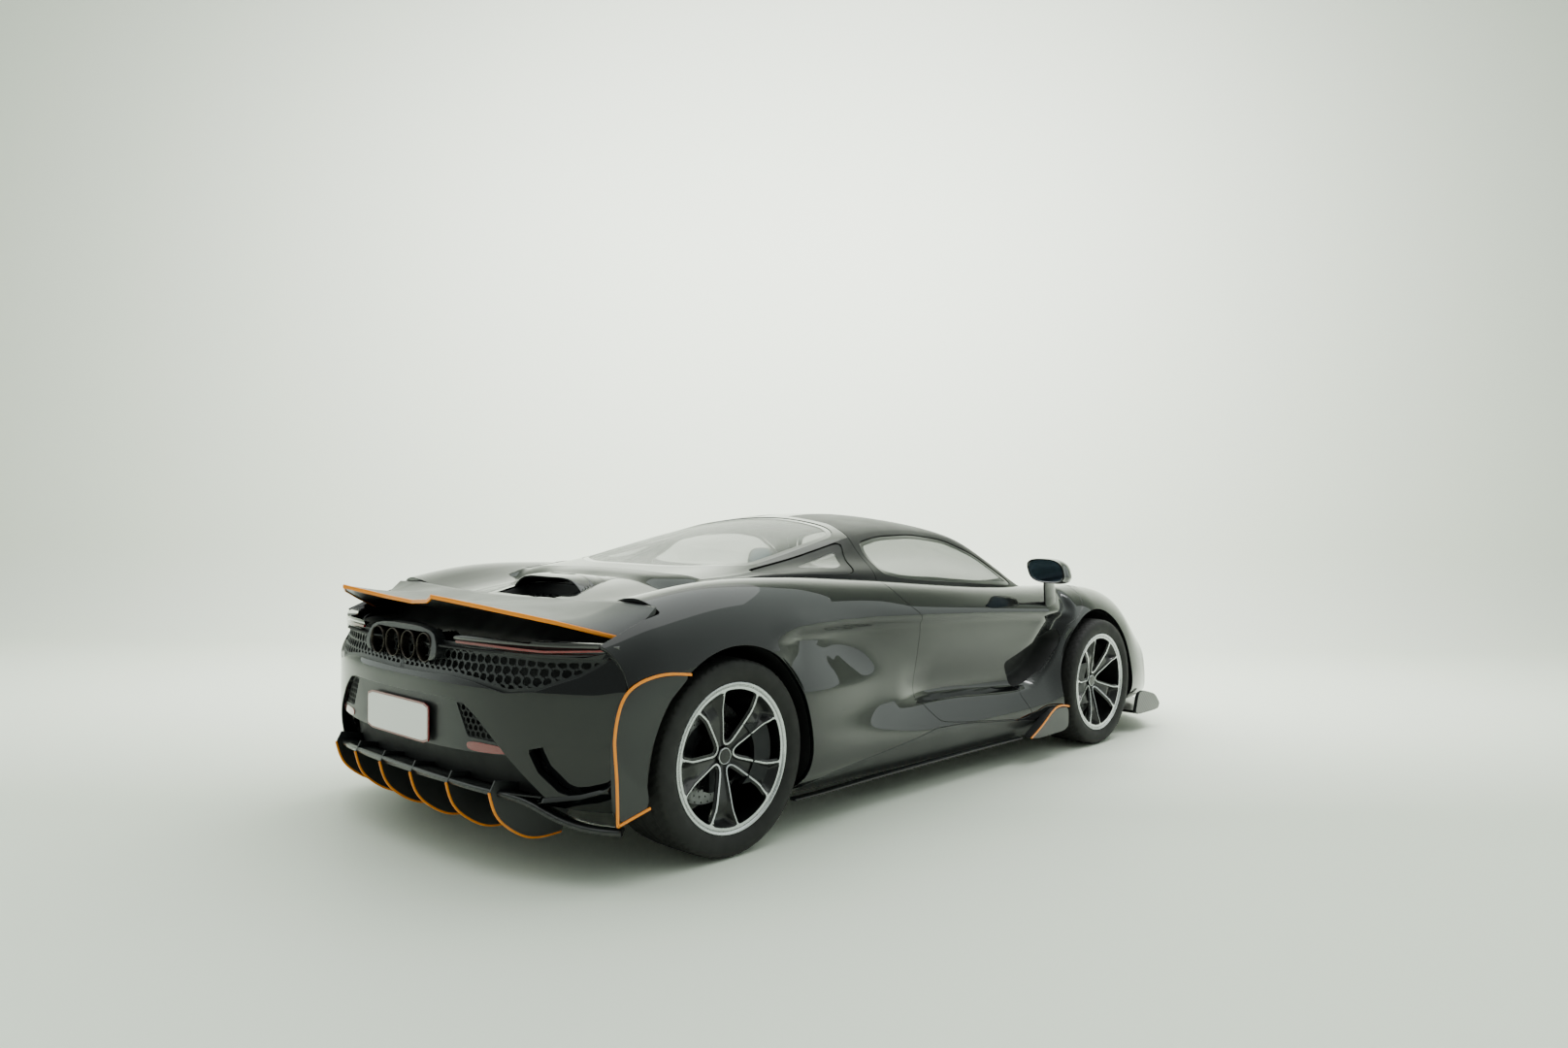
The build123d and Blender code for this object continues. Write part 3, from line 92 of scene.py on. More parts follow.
HOUSE = {
    -1300: [(640, 935), (600, 938), (0, 962)],
    -1080: [(700, 950), (600, 955), (0, 1010)],
    -850: [(745, 945), (585, 1000), (0, 1080)],
    -600: [(785, 925), (575, 1052), (0, 1140)],
    -400: [(797, 905), (560, 1092), (0, 1172)],
    -150: [(802, 882), (548, 1118), (0, 1195)],
    100: [(803, 865), (560, 1112), (0, 1188)],
    350: [(797, 842), (618, 1060), (0, 1137)],
    600: [(782, 828), (735, 885), (0, 1042)],
    800: [(700, 812), (690, 820), (0, 945)],
    950: [(490, 810), (478, 818), (0, 864)],
    1000: [(250, 812), (240, 818), (0, 836)],
}
NOSE = [(1600, 1050), (1890, 850), (2120, 600), (NOSE_X - 40, 300), (NOSE_X, 0)]
TAIL = [(-1850, 1050), (-1990, 900), (-2163, 600), (TAIL_X + 9, 300), (TAIL_X, 0)]
# side views (x, z)
DOOR = [(-140, 279), (594, 205), (478, 352), (640, 450), (820, 556), (890, 640), (985, 672),
        (1075, 735), (1112, 830), (1112, 900), (700, 1000), (600, 1260), (-300, 1260), (-421, 1090),
        (-525, 915), (-432, 821), (-333, 759), (-305, 413), (-214, 333)]
DOOR_WINDOW = [(-462, 926), (-400, 1070), (-242, 1096), (0, 1103), (210, 1078), (400, 1000),
               (575, 868), (560, 850)]
QUARTER_WINDOW = [(-632, 942), (-482, 1078), (-800, 1012), (-1085, 962)]
SKIRT = [(-1085, 90), (-1085, 196), (-402, 236), (-140, 273), (594, 199), (805, 178), (850, 90)]
SIDE_BLADE = [(480, 132), (604, 192), (718, 250), (838, 241), (838, 127), (560, 122)]
REAR_BLADE = [(-1981, 209), (-1992, 549), (-1960, 620), (-1883, 662), (-1700, 668),
              (-1812, 570), (-1878, 400), (-1850, 240)]
SPLITTER_END = [(1600, 96), (1640, 215), (1700, 225), (1850, 190), (1915, 130), (1890, 96)]
# plan views (x, distance from the centre plane)
DOOR_ROOF = [(-310, 90), (-352, 380), (-421, 545), (-470, 700), (-525, 820), (-525, 1100),
             (1140, 1100), (1140, 738), (700, 738), (625, 752), (372, 552), (345, 400), (335, 90)]
WINDSCREEN = [(1010, 0), (1010, 300), (930, 480), (820, 610), (735, 668), (620, 690), (415, 520),
              (385, 400), (375, 0)]
REAR_WINDOW = [(-350, 0), (-392, 380), (-465, 522), (-600, 535), (-850, 545), (-1060, 540),
               (-1215, 251), (-1228, 0)]
LID = [(1950, 0), (1930, 230), (1850, 390), (1500, 455), (1135, 500), (1135, 0)]
ENGINE_COVER = [(-1250, 0), (-1235, 255), (-1095, 500), (-1500, 440), (-1700, 400), (-1720, 0)]
NOSE_INTAKE = [(0, 176), (330, 176), (420, 196), (400, 262), (300, 282), (0, 286)]
CORNER_INTAKE = [(520, 200), (640, 214), (655, 330), (610, 350), (540, 300)]
HEADLAMP = [(1690, 640), (1850, 700), (2010, 640), (2060, 560), (1960, 520), (1760, 560)]


# ---- curves and outlines -----------------------------------------------------------------
def tabled(table, xs):
    """Sections at stations xs: every tabled value runs along a cubic through its neighbours."""
    keys = np.array(sorted(table), float)
    values = np.array([table[int(k)] for k in keys], float)
    xs = np.clip(np.asarray(xs, float), keys[0], keys[-1])
    k = np.clip(np.searchsorted(keys, xs, side="right") - 1, 0, len(keys) - 2)
    before, after = np.maximum(k - 1, 0), np.minimum(k + 2, len(keys) - 1)
    span = keys[k + 1] - keys[k]
    wide = (-1,) + (1,) * (values.ndim - 1)
    t = ((xs - keys[k]) / span).reshape(wide)
    slope0 = (values[k + 1] - values[before]) * (span / (keys[k + 1] - keys[before])).reshape(wide)
    slope1 = (values[after] - values[k]) * (span / (keys[after] - keys[k])).reshape(wide)
    hold = (2 * t**3 - 3 * t**2 + 1) * values[k] + (3 * t**2 - 2 * t**3) * values[k + 1]
    return hold + (t**3 - 2 * t**2 + t) * slope0 + (t**3 - t**2) * slope1


def natural_cubic(points, s):
    """Natural cubic through each row of points (n, m, 2), by chord length, read at index values s (k)."""
    n, m, _ = points.shape
    chord = np.linalg.norm(np.diff(points, axis=1), axis=2)
    rise = np.diff(points, axis=1) / chord[..., None]
    a = np.zeros((n, m, m))
    b = np.zeros((n, m, 2))
    i = np.arange(1, m - 1)
    a[:, 0, 0] = a[:, -1, -1] = 1
    a[:, i, i - 1] = chord[:, :-1]
    a[:, i, i] = 2 * (chord[:, :-1] + chord[:, 1:])
    a[:, i, i + 1] = chord[:, 1:]
    b[:, 1:-1] = 6 * np.diff(rise, axis=1)
    bend = np.linalg.solve(a, b)
    k = np.clip(np.floor(s).astype(int), 0, m - 2)
    t = (s - k)[None, :, None]
    h = chord[:, k][..., None]
    p0, p1 = points[:, k], points[:, k + 1]
    m0, m1 = bend[:, k], bend[:, k + 1]
    line = (1 - t) * p0 + t * p1
    return line + h * h / 6 * (((1 - t)**3 - (1 - t)) * m0 + (t**3 - t) * m1)


def smooth_line(points, count):
    """Points evenly spread along the natural cubic through points."""
    p = np.asarray(points, float)[None]
    spline = natural_cubic if p.shape[2] == 2 else natural_cubic_3d
    fine = spline(p, np.linspace(0, p.shape[1] - 1, 40 * p.shape[1]))[0]
    run = np.r_[0, np.cumsum(np.linalg.norm(np.diff(fine, axis=0), axis=1))]
    at = np.linspace(0, run[-1], count)
    return np.stack([np.interp(at, run, column) for column in fine.T], 1)


def natural_cubic_3d(points, s):
    """The natural cubic for points with three coordinates: the third is carried with the first two."""
    first = natural_cubic(points[..., :2], s)
    third = natural_cubic(points[..., [0, 2]], s)[..., 1:]
    return np.concatenate([first, third], 2)


def rounded(outline, times=2, share=0.22):
    """A closed outline with its corners cut: each pass keeps two points on every edge."""
    p = np.asarray(outline, float)
    for _ in range(times):
        q = np.roll(p, -1, axis=0)
        p = np.stack([p + share * (q - p), q - share * (q - p)], 1).reshape(-1, 2)
    return p


def mirrored(outline):
    """The whole outline of one given as its left half."""
    right = [(x, -y) for x, y in reversed(outline) if y > 0]
    return list(outline) + right


def line_distance(u, v, line):
    """Distance of points (u, v) to an open line."""
    near = np.full(np.shape(u), 1e18)
    for (au, av), (bu, bv) in zip(line[:-1], line[1:]):
        du, dv = bu - au, bv - av
        t = np.clip(((u - au) * du + (v - av) * dv) / max(du * du + dv * dv, 1e-9), 0, 1)
        near = np.minimum(near, (u - au - t * du)**2 + (v - av - t * dv)**2)
    return np.sqrt(near)


def within(u, v, outline):
    """Signed distance of points (u, v) to a closed outline, positive inside."""
    ring = np.concatenate([outline, outline[:1]]).astype(float)
    inside = np.zeros(np.shape(u), bool)
    for (au, av), (bu, bv) in zip(ring[:-1], ring[1:]):
        if bv != av:
            inside ^= ((av > v) != (bv > v)) & (u < (bu - au) * (v - av) / (bv - av) + au)
    return np.where(inside, 1, -1) * line_distance(u, v, ring)


def unit(vectors):
    """Vectors scaled to length one."""
    return vectors / np.maximum(np.linalg.norm(vectors, axis=-1, keepdims=True), 1e-12)


def step(low, high, value):
    """0 below low, 1 above high, and a smooth cubic between."""
    t = np.clip((value - low) / (high - low), 0, 1)
    return t * t * (3 - 2 * t)


# ---- triangle surfaces -------------------------------------------------------------------
class Surface:
    """Loose arrays of a surface: points, normals, extra values, triangles, and a material of each."""

    def __init__(self, co, tri, normal=None, mark=None):
        self.co = np.asarray(co, float)
        self.tri = np.asarray(tri, int).reshape(-1, 3)
        self.normal = self.point_normals() if normal is None else normal
        self.mark = np.zeros(len(self.tri), int) if mark is None else mark

    def point_normals(self):
        """Area weighted mean of the triangles round each point."""
        a, b, c = (self.co[self.tri[:, i]] for i in range(3))
        face = np.cross(b - a, c - a)
        out = np.zeros_like(self.co)
        for i in range(3):
            for k in range(3):
                out[:, k] += np.bincount(self.tri[:, i], face[:, k], len(self.co))
        return unit(out)

    def flipped(self):
        return Surface(self.co, self.tri[:, ::-1], -self.normal, self.mark)

    def shifted(self, distance):
        """Moved along its own normals."""
        return Surface(self.co + self.normal * distance, self.tri, self.normal, self.mark)

    def moved(self, turn=None, by=(0, 0, 0)):
        """Turned by a 3 x 3 matrix and then moved."""
        turn = np.eye(3) if turn is None else np.asarray(turn)
        tri = self.tri if np.linalg.det(turn) > 0 else self.tri[:, ::-1]
        return Surface(self.co @ turn.T + np.asarray(by, float), tri, self.normal @ turn.T, self.mark)

    def other_side(self):
        """The mirror image across the car's centre plane."""
        return self.moved(np.diag([1, -1, 1]))

    def marked(self, value):
        return Surface(self.co, self.tri, self.normal, np.full(len(self.tri), value))


def joined(*surfaces):
    """Several surfaces as one."""
    co, normal, tri, mark, base = [], [], [], [], 0
    for s in surfaces:
        co.append(s.co)
        normal.append(s.normal)
        tri.append(s.tri + base)
        mark.append(s.mark)
        base += len(s.co)
    return Surface(np.concatenate(co), np.concatenate(tri), np.concatenate(normal), np.concatenate(mark))


def grid(points, closed_u=False, closed_v=False, turn=False):
    """Surface over a grid of points (nu, nv, 3), two triangles to a cell."""
    nu, nv = points.shape[:2]
    i = np.arange(nu if closed_u else nu - 1)[:, None]
    j = np.arange(nv if closed_v else nv - 1)[None, :]
    a = i * nv + j
    b = ((i + 1) % nu) * nv + j
    c = ((i + 1) % nu) * nv + (j + 1) % nv
    d = i * nv + (j + 1) % nv
    tri = np.concatenate([np.stack([a, b, c], -1).reshape(-1, 3), np.stack([a, c, d], -1).reshape(-1, 3)])
    if turn:
        tri = tri[:, ::-1]
    return Surface(points.reshape(-1, 3), tri)


def cut(surface, value, both=False):
    """Keep where value > 0, cutting triangles along value = 0. With both, return the two sides."""
    sides = []
    for sign in ((1, -1) if both else (1,)):
        g = value * sign
        keep = g > 0
        count = keep[surface.tri].sum(1)
        whole = surface.tri[count == 3]
        marks = [surface.mark[count == 3]]
        tris = [whole]
        co, normal = [surface.co], [surface.normal]
        base = len(surface.co)
        for inside in (1, 2):
            t = surface.tri[count == inside]
            m = surface.mark[count == inside]
            if not len(t):
                continue
            odd = keep[t] if inside == 1 else ~keep[t]
            first = np.argmax(odd, 1)
            t = np.stack([t[np.arange(len(t)), (first + k) % 3] for k in range(3)], 1)
            new = []
            for k in (1, 2):
                w = g[t[:, 0]] / (g[t[:, 0]] - g[t[:, k]])
                w = np.clip(w, 1e-6, 1 - 1e-6)[:, None]
                co.append(surface.co[t[:, 0]] * (1 - w) + surface.co[t[:, k]] * w)
                blend = surface.normal[t[:, 0]] * (1 - w) + surface.normal[t[:, k]] * w
                normal.append(unit(blend))
                new.append(np.arange(base, base + len(t)))
                base += len(t)
            if inside == 1:
                tris.append(np.stack([t[:, 0], new[0], new[1]], 1))
                marks.append(m)
            else:
                tris += [np.stack([new[0], t[:, 1], t[:, 2]], 1), np.stack([new[0], t[:, 2], new[1]], 1)]
                marks += [m, m]
        sides.append(tidy(Surface(np.concatenate(co), np.concatenate(tris), np.concatenate(normal),
                                  np.concatenate(marks))))
    return tuple(sides) if both else sides[0]


def trimmed(surface, field):
    """Keep where field(x, y, z) > 0."""
    return cut(surface, field(*surface.co.T))


def tidy(surface):
    """Merge points closer than a hundredth of a millimetre and drop what no triangle uses."""
    if not len(surface.tri):
        return Surface(np.zeros((0, 3)), np.zeros((0, 3), int), np.zeros((0, 3)), np.zeros(0, int))
    used, tri = np.unique(surface.tri, return_inverse=True)
    co, normal = surface.co[used], surface.normal[used]
    tri = tri.reshape(-1, 3)
    key = np.round(co * 50).astype(np.int64)
    _, first, back = np.unique(key, axis=0, return_index=True, return_inverse=True)
    tri = back.reshape(-1)[tri]
    good = (tri[:, 0] != tri[:, 1]) & (tri[:, 1] != tri[:, 2]) & (tri[:, 0] != tri[:, 2])
    return Surface(co[first], tri[good], normal[first], surface.mark[good])


def plate(surface, wall, round_edge=1.2, mark=None, inner=None):
    """A wall under a surface: its inner face, and a rim whose outer corner is rounded.

    The rim stands on every open edge. It leans out a little below the face, so that the
    corner catches light, and it carries the mark of the face beside it, or mark.
    """
    t = surface.tri
    edges = np.concatenate([t[:, [0, 1]], t[:, [1, 2]], t[:, [2, 0]]])
    owner = np.tile(np.arange(len(t)), 3)
    size = len(surface.co)
    code = edges[:, 0] * size + edges[:, 1]
    back = edges[:, 1] * size + edges[:, 0]
    lone = ~np.isin(code, back)
    e = edges[lone]
    marks = surface.mark[owner[lone]] if mark is None else np.full(lone.sum(), mark)
    a, b = surface.co[e[:, 0]], surface.co[e[:, 1]]
    out = np.cross(unit(b - a), unit(surface.normal[e[:, 0]] + surface.normal[e[:, 1]]))
    lateral = np.zeros_like(surface.co)
    for k in range(3):
        lateral[:, k] = np.bincount(e[:, 0], out[:, k], size) + np.bincount(e[:, 1], out[:, k], size)
    rim = np.unique(e)
    place = np.full(size, -1)
    place[rim] = np.arange(len(rim))
    p, n, m = surface.co[rim], surface.normal[rim], unit(lateral[rim])
    r = round_edge
    rows = [p, p - n * r * 0.4 + m * r * 0.55, p - n * r * 1.3 + m * r * 0.8, p - n * wall + m * r * 0.8]
    leans = [unit(v) for v in (n + 0.15 * m, n * 0.75 + m * 0.65, m + 0.1 * n, m)]
    k = len(rim)
    i, j = place[e[:, 0]], place[e[:, 1]]
    strip, strip_marks = [], []
    for row in range(3):
        lo, hi = row * k, (row + 1) * k
        strip += [np.stack([lo + i, hi + i, hi + j], 1), np.stack([lo + i, hi + j, lo + j], 1)]
        strip_marks += [marks, marks]
    edge = Surface(np.concatenate(rows), np.concatenate(strip), np.concatenate(leans),
                   np.concatenate(strip_marks))
    under = surface.shifted(-wall).flipped()
    if inner is not None:
        under = under.marked(inner)
    return joined(surface, edge, under)


def outward(surface):
    """A closed surface with its faces pointing out: its volume, summed over triangles, is positive."""
    corners = surface.co[surface.tri] - surface.co.mean(0)
    volume = np.einsum("ij,ij->i", corners[:, 0], np.cross(corners[:, 1], corners[:, 2])).sum()
    return surface if volume > 0 else surface.flipped()


def facing(surface, way):
    """A surface whose normals, on average, point along way."""
    return surface if (surface.normal @ np.asarray(way, float)).mean() > 0 else surface.flipped()


def sheet(x, y, z, way):
    """An open surface over grids of coordinates, facing way."""
    return facing(grid(np.stack(np.broadcast_arrays(x, y, z), -1)), way)


def lathe(profile, x, y, z, side=1, steps=96, closed=False):
    """Profile of (distance along the axle towards the car's outside, radius) turned about an axle along Y."""
    p = np.asarray(profile, float)
    angle = np.linspace(0, 2 * np.pi, steps, endpoint=False)[:, None]
    along = np.broadcast_to(y + side * p[:, 0], (steps, len(p)))
    pts = np.stack([x + p[:, 1] * np.cos(angle), along, z + p[:, 1] * np.sin(angle)], -1)
    return outward(grid(pts, closed_u=True, closed_v=closed))


def fan(ring, turn=False):
    """A ring of points closed by triangles from its first point."""
    n = len(ring)
    tri = np.stack([np.zeros(n - 2, int), np.arange(1, n - 1), np.arange(2, n)], 1)
    return Surface(ring, tri[:, ::-1] if turn else tri)


def sweep(path, section, closed=False, up=(0, 0, 1)):
    """A closed section (across, up) carried along a path of points, square to its run."""
    path = np.asarray(path, float)
    section = np.asarray(section, float)
    run = unit(np.roll(path, -1, 0) - np.roll(path, 1, 0) if closed else np.gradient(path, axis=0))
    across = unit(np.cross(run, np.asarray(up, float)))
    high = np.cross(across, run)
    if section.ndim == 2:
        section = np.broadcast_to(section, (len(path),) + section.shape)
    pts = path[:, None] + across[:, None] * section[..., 0:1] + high[:, None] * section[..., 1:2]
    body = grid(pts, closed_u=closed, closed_v=True, turn=True)
    return outward(body if closed else joined(body, fan(pts[0]), fan(pts[-1], True)))


def circle(radius, count=12, flat=1.0):
    """Points of a circle, or of an ellipse whose height is flat times its width."""
    a = np.linspace(0, 2 * np.pi, count, endpoint=False)
    return np.stack([radius * np.cos(a), radius * flat * np.sin(a)], 1)


def slab(outline, near, far, axes=(0, 2), round_edge=1.5):
    """A flat plate: a closed outline in two axes, between two places on the third."""
    p = np.asarray(outline, float)
    q = np.roll(p, -1, 0)
    if np.sum(p[:, 0] * q[:, 1] - q[:, 0] * p[:, 1]) < 0:
        p = p[::-1]
    inward = unit((np.roll(p, -1, 0) - np.roll(p, 1, 0))[:, ::-1] * [-1, 1])
    rows = []
    corners = ((round_edge, near), (0, near + round_edge), (0, far - round_edge), (round_edge, far))
    for offset, depth in corners:
        ring = np.full((len(p), 3), float(depth))
        ring[:, axes[0]], ring[:, axes[1]] = (p + inward * offset).T
        rows.append(ring)
    tri = ears(rows[0][:, list(axes)])
    even = axes in ((0, 1), (1, 2))
    low = Surface(rows[0], tri[:, ::-1] if even else tri)
    high = Surface(rows[-1], tri if even else tri[:, ::-1])
    return outward(joined(flat_shaded(grid(np.stack(rows, 0), closed_v=True, turn=even)), low, high))


def flat_shaded(surface):
    """Every triangle with its own points, so that its corners stay crisp."""
    return Surface(surface.co[surface.tri].reshape(-1, 3), np.arange(len(surface.tri) * 3).reshape(-1, 3),
                   None, surface.mark)


def ears(outline):
    """Triangles of a simple flat outline that runs anticlockwise."""
    tri = np.array(tessellate_polygon([[Vector((a, b, 0)) for a, b in outline]]))
    a, b, c = (outline[tri[:, i]] for i in range(3))
    area = (b[:, 0] - a[:, 0]) * (c[:, 1] - a[:, 1]) - (b[:, 1] - a[:, 1]) * (c[:, 0] - a[:, 0])
    tri[area < 0] = tri[area < 0][:, ::-1]
    return tri


def make(name, surface, looks, body, replaces=()):
    """A Blender object from a surface in millimetres, riding on a body of the frame.

    looks names its finishes in the order of the surface's marks.
    """
    mesh = bpy.data.meshes.new(name)
    co = (surface.co * MM).astype(np.float32)
    tri = surface.tri.astype(np.int32)
    mesh.vertices.add(len(co))
    mesh.vertices.foreach_set("co", co.ravel())
    mesh.loops.add(tri.size)
    mesh.loops.foreach_set("vertex_index", tri.ravel())
    mesh.polygons.add(len(tri))
    mesh.polygons.foreach_set("loop_start", np.arange(0, tri.size, 3, dtype=np.int32))
    mesh.polygons.foreach_set("material_index", surface.mark.astype(np.int32))
    mesh.update(calc_edges=True)
    mesh.validate(clean_customdata=False)
    mesh.shade_smooth()
    if len(mesh.vertices) == len(surface.normal):
        mesh.normals_split_custom_set_from_vertices(surface.normal.astype(np.float32))
    for look in looks.split():
        mesh.materials.append(FINISH[look])
    piece = bpy.data.objects.new(name, mesh)
    bpy.context.scene.collection.objects.link(piece)
    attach(piece, body)
    if replaces:
        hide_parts(*replaces)
    return piece


# ---- the body's surface ------------------------------------------------------------------
def body_sections(xs):
    """Whole sections of the body at stations xs: left floor edge, over the top, right floor edge."""
    half = tabled(BODY, xs)
    valley, centre = half[:, 6], half[:, 7]
    hump = np.stack([valley[:, 0] * 0.5, valley[:, 1] + 0.75 * (centre[:, 1] - valley[:, 1])], 1)
    half = np.concatenate([half[:, :7], hump[:, None], half[:, 7:]], 1)
    return np.concatenate([half, half[:, -2::-1] * [-1, 1]], 1)


def stacked(xs, yz):
    """Points (x, y, z) of sections (y, z) that stand at stations xs."""
    return np.concatenate([np.broadcast_to(xs[:, None, None], yz.shape[:2] + (1,)), yz], 2)


def body_points(xs, s):
    """Points of the body: a natural cubic through each section, at index values s."""
    return stacked(xs, natural_cubic(body_sections(xs), s))


def house_points(xs, s):
    """Points of the greenhouse: foot, belt, side glass, roof rail and crown of each section."""
    belt, cant, top = (tabled(HOUSE, xs)[:, i] for i in range(3))
    rise = top[:, 1] - cant[:, 1]
    foot = np.stack([belt[:, 0] + 2, belt[:, 1] - 30], 1)
    side = belt * 0.5 + cant * 0.5 + np.array([5.0, 3.0])
    half = [foot, belt, side, cant + [1.0, 0.0]]
    for width, share in ((0.9, 0.31), (0.62, 0.7), (0.3, 0.93), (0, 1)):
        half.append(np.stack([cant[:, 0] * width, cant[:, 1] + rise * share], 1))
    half = np.stack(half, 1)
    return stacked(xs, natural_cubic(np.concatenate([half, half[:, -2::-1] * [-1, 1]], 1), s))


def end_curve(outline):
    """The whole plan curve of the nose or the tail, from its left half."""
    return smooth_line(list(outline) + [(x, -y) for x, y in outline[-2::-1]], 161)


def plan_outline(line, far):
    """Closed plan outline from one end's curve, far past the other end."""
    return np.concatenate([line, [[far, line[-1, 1]], [far, line[0, 1]]]])


NOSE_CURVE = end_curve(NOSE)
TAIL_CURVE = end_curve(TAIL)


def end_x(y, rear):
    """Station of the tail's or the nose's wall at a distance y from the centre plane."""
    line = TAIL_CURVE if rear else NOSE_CURVE
    order = np.argsort(line[:, 1])
    return np.interp(y, line[order, 1], line[order, 0])


def house_plan(x, y):
    """Signed distance, in plan, to the greenhouse's foot, positive inside it."""
    line = np.stack([HOUSE_STATIONS, tabled(HOUSE, HOUSE_STATIONS)[:, 0, 0]], 1)
    return within(x, y, np.concatenate([line, line[::-1] * [1, -1]]))


def arch(x, z, wheel):
    """Signed distance outside a wheel arch."""
    return np.hypot(x - wheel[0], z - wheel[1]) - wheel[2]


PANEL_GAP = 4.0
FAR = 3000                              # past both ends of the car
GRID_STEP = 17.0                        # along X, of the body's and the greenhouse's grids
HOUSE_STATIONS = np.linspace(-1296, 998, 140)
DOOR_LINE = rounded(DOOR, 2, 0.16)
SKIRT_LINE = rounded(SKIRT, 1)
PANE_LINE = rounded(DOOR_WINDOW, 2, 0.14)
QUARTER_LINE = rounded(QUARTER_WINDOW, 2, 0.12)
SCREEN_LINE = rounded(mirrored(WINDSCREEN), 2)
REAR_PANE_LINE = rounded(mirrored(REAR_WINDOW), 2)


def door_field(x, y, z):
    """Signed distance inside a door's cut line, in side view and in plan over the roof."""
    return np.minimum(within(x, z, DOOR_LINE), within(x, np.abs(y), DOOR_ROOF))


SHOULDER_LINE = np.array([(-1330, 742), (-1150, 772), (-900, 778), (-640, 772), (-355, 757), (0, 746),
                          (270, 735), (640, 716), (991, 696)], float)
LEDGE_LINE = smooth_line([(-470, 372), (-130, 378), (206, 361), (470, 348), (600, 362), (758, 468),
                          (860, 556), (985, 668)], 60)
BOWL_DEPTH = 38
SHOULDER_DEPTH = 17
WAIST_DEPTH = 26                        # more of the shoulder before the rear arch
POCKET_DEPTH = 56
OUTLET = [(417, 488), (560, 548), (690, 602), (846, 630), (842, 562), (705, 432), (590, 378), (488, 362),
          (466, 419)]
OUTLET_LINE = rounded(OUTLET, 2, 0.12)


def shaped(surface):
    """Flanks pressed to shape: a turned-under shoulder and a bowl over a crisp ledge.

    Every form is a distance below or above a side-view line, passed through smooth steps.
    """
    x, y, z = surface.co.T
    side = step(560, 720, np.abs(y))
    below = np.interp(x, SHOULDER_LINE[:, 0], SHOULDER_LINE[:, 1]) - z
    fade = step(-1330, -1120, x) * (1 - step(800, 1000, x))
    hollow = np.exp(-((x + 830) / 300)**2)
    shoulder = (SHOULDER_DEPTH + WAIST_DEPTH * hollow) * step(-5, 30 + 18 * hollow, below)
    shoulder = shoulder * (1 - step(70, 270, below)) * fade
    swell = 9 * np.exp(-((below + 26) / 34)**2) * fade * (1 - hollow)
    run, rise = LEDGE_LINE.T
    slope = np.interp(x, run, np.gradient(rise, run))
    above = (z - np.interp(x, run, rise)) / np.sqrt(1 + slope**2)
    along = step(-480, -150, x) * (1 - step(930, 985, x))
    clear = step(420, 480, np.hypot(x - FRONT_ARCH[0], z - FRONT_ARCH[1]))
    bowl = BOWL_DEPTH * step(0, 26, above) * (1 - step(32, 235, above)) * along * clear
    y = y - np.sign(y) * side * (shoulder + bowl - swell)
    return Surface(np.stack([x, y, z], 1), surface.tri)


def in_plan(line):
    """Field inside a plan outline."""
    return lambda x, y, z: within(x, y, line)


def in_side_view(line):
    """Field inside a side-view outline."""
    return lambda x, y, z: within(x, z, line)


def crowned(surface):
    """A surface whose highest point faces up."""
    return surface if surface.normal[np.argmax(surface.co[:, 2]), 2] > 0 else surface.flipped()


def body_skin():
    """The whole closed body as one fine grid, trimmed at nose and tail, with character lines."""
    half = np.concatenate([np.linspace(0, 1, 4)[:-1], np.linspace(1, 5.5, 58)[:-1], np.linspace(5.5, 8, 14)])
    s = np.concatenate([half, (16 - half)[::-1][1:]])
    skin = shaped(crowned(grid(body_points(np.arange(-2239, 2289, GRID_STEP), s))))
    skin = trimmed(skin, in_plan(plan_outline(NOSE_CURVE, -FAR)))
    skin = trimmed(skin, in_plan(plan_outline(TAIL_CURVE, FAR)))
    skin = trimmed(skin, lambda x, y, z: 1000 * (z < 700) - house_plan(x, y))
    skin = trimmed(skin, lambda x, y, z: arch(x, z, FRONT_ARCH) + 3)
    skin = trimmed(skin, lambda x, y, z: arch(x, z, REAR_ARCH) + 3)
    return trimmed(skin, lambda x, y, z: np.where(np.abs(y) > 600, -within(x, z, OUTLET_LINE), 50.0))


def split(surface, field, gap=PANEL_GAP):
    """Part a surface along field = 0 with a gap: what is inside, and what is outside."""
    distance = field(*surface.co.T)
    return cut(surface, distance - gap / 2), cut(surface, -distance - gap / 2)


def house_skin():
    """The greenhouse as one fine grid."""
    return crowned(grid(house_points(np.arange(-1299, 1000, GRID_STEP), np.linspace(0, 14, 99))))


# ---- materials ---------------------------------------------------------------------------
def linear(code):
    """Linear RGBA of an sRGB hex colour, or of three values that are linear already."""
    if not isinstance(code, str):
        return [*code, 1.0]
    rgb = [int(code[i:i + 2], 16) / 255 for i in (1, 3, 5)]
    return [c / 12.92 if c <= 0.04045 else ((c + 0.055) / 1.055)**2.4 for c in rgb] + [1.0]


def node(tree, kind, links=None, **settings):
    """Add a node, set its fields and sockets, and link its inputs from other nodes' outputs."""
    made = tree.nodes.new(kind)
    for key, value in settings.items():
        if hasattr(made, key):
            setattr(made, key, value)
        else:
            made.inputs[key.replace("_", " ")].default_value = value
    for key, source in (links or {}).items():
        tree.links.new(source, made.inputs[key])
    return made


def material(name, colour, **sockets):
    """A principled material with constant sockets; returns it, its tree and its shader."""
    made = bpy.data.materials.new(name)
    made.use_nodes = True
    tree = made.node_tree
    shader = tree.nodes["Principled BSDF"]
    rgba = linear(colour)
    shader.inputs["Base Color"].default_value = rgba
    for key, value in sockets.items():
        shader.inputs[key.replace("_", " ")].default_value = value
    made.diffuse_color = rgba
    return made, tree, shader


def object_coordinates(tree):
    """Object coordinates, in metres."""
    place = node(tree, "ShaderNodeTexCoord")
    return node(tree, "ShaderNodeMapping", {"Vector": place.outputs["Object"]}).outputs["Vector"]


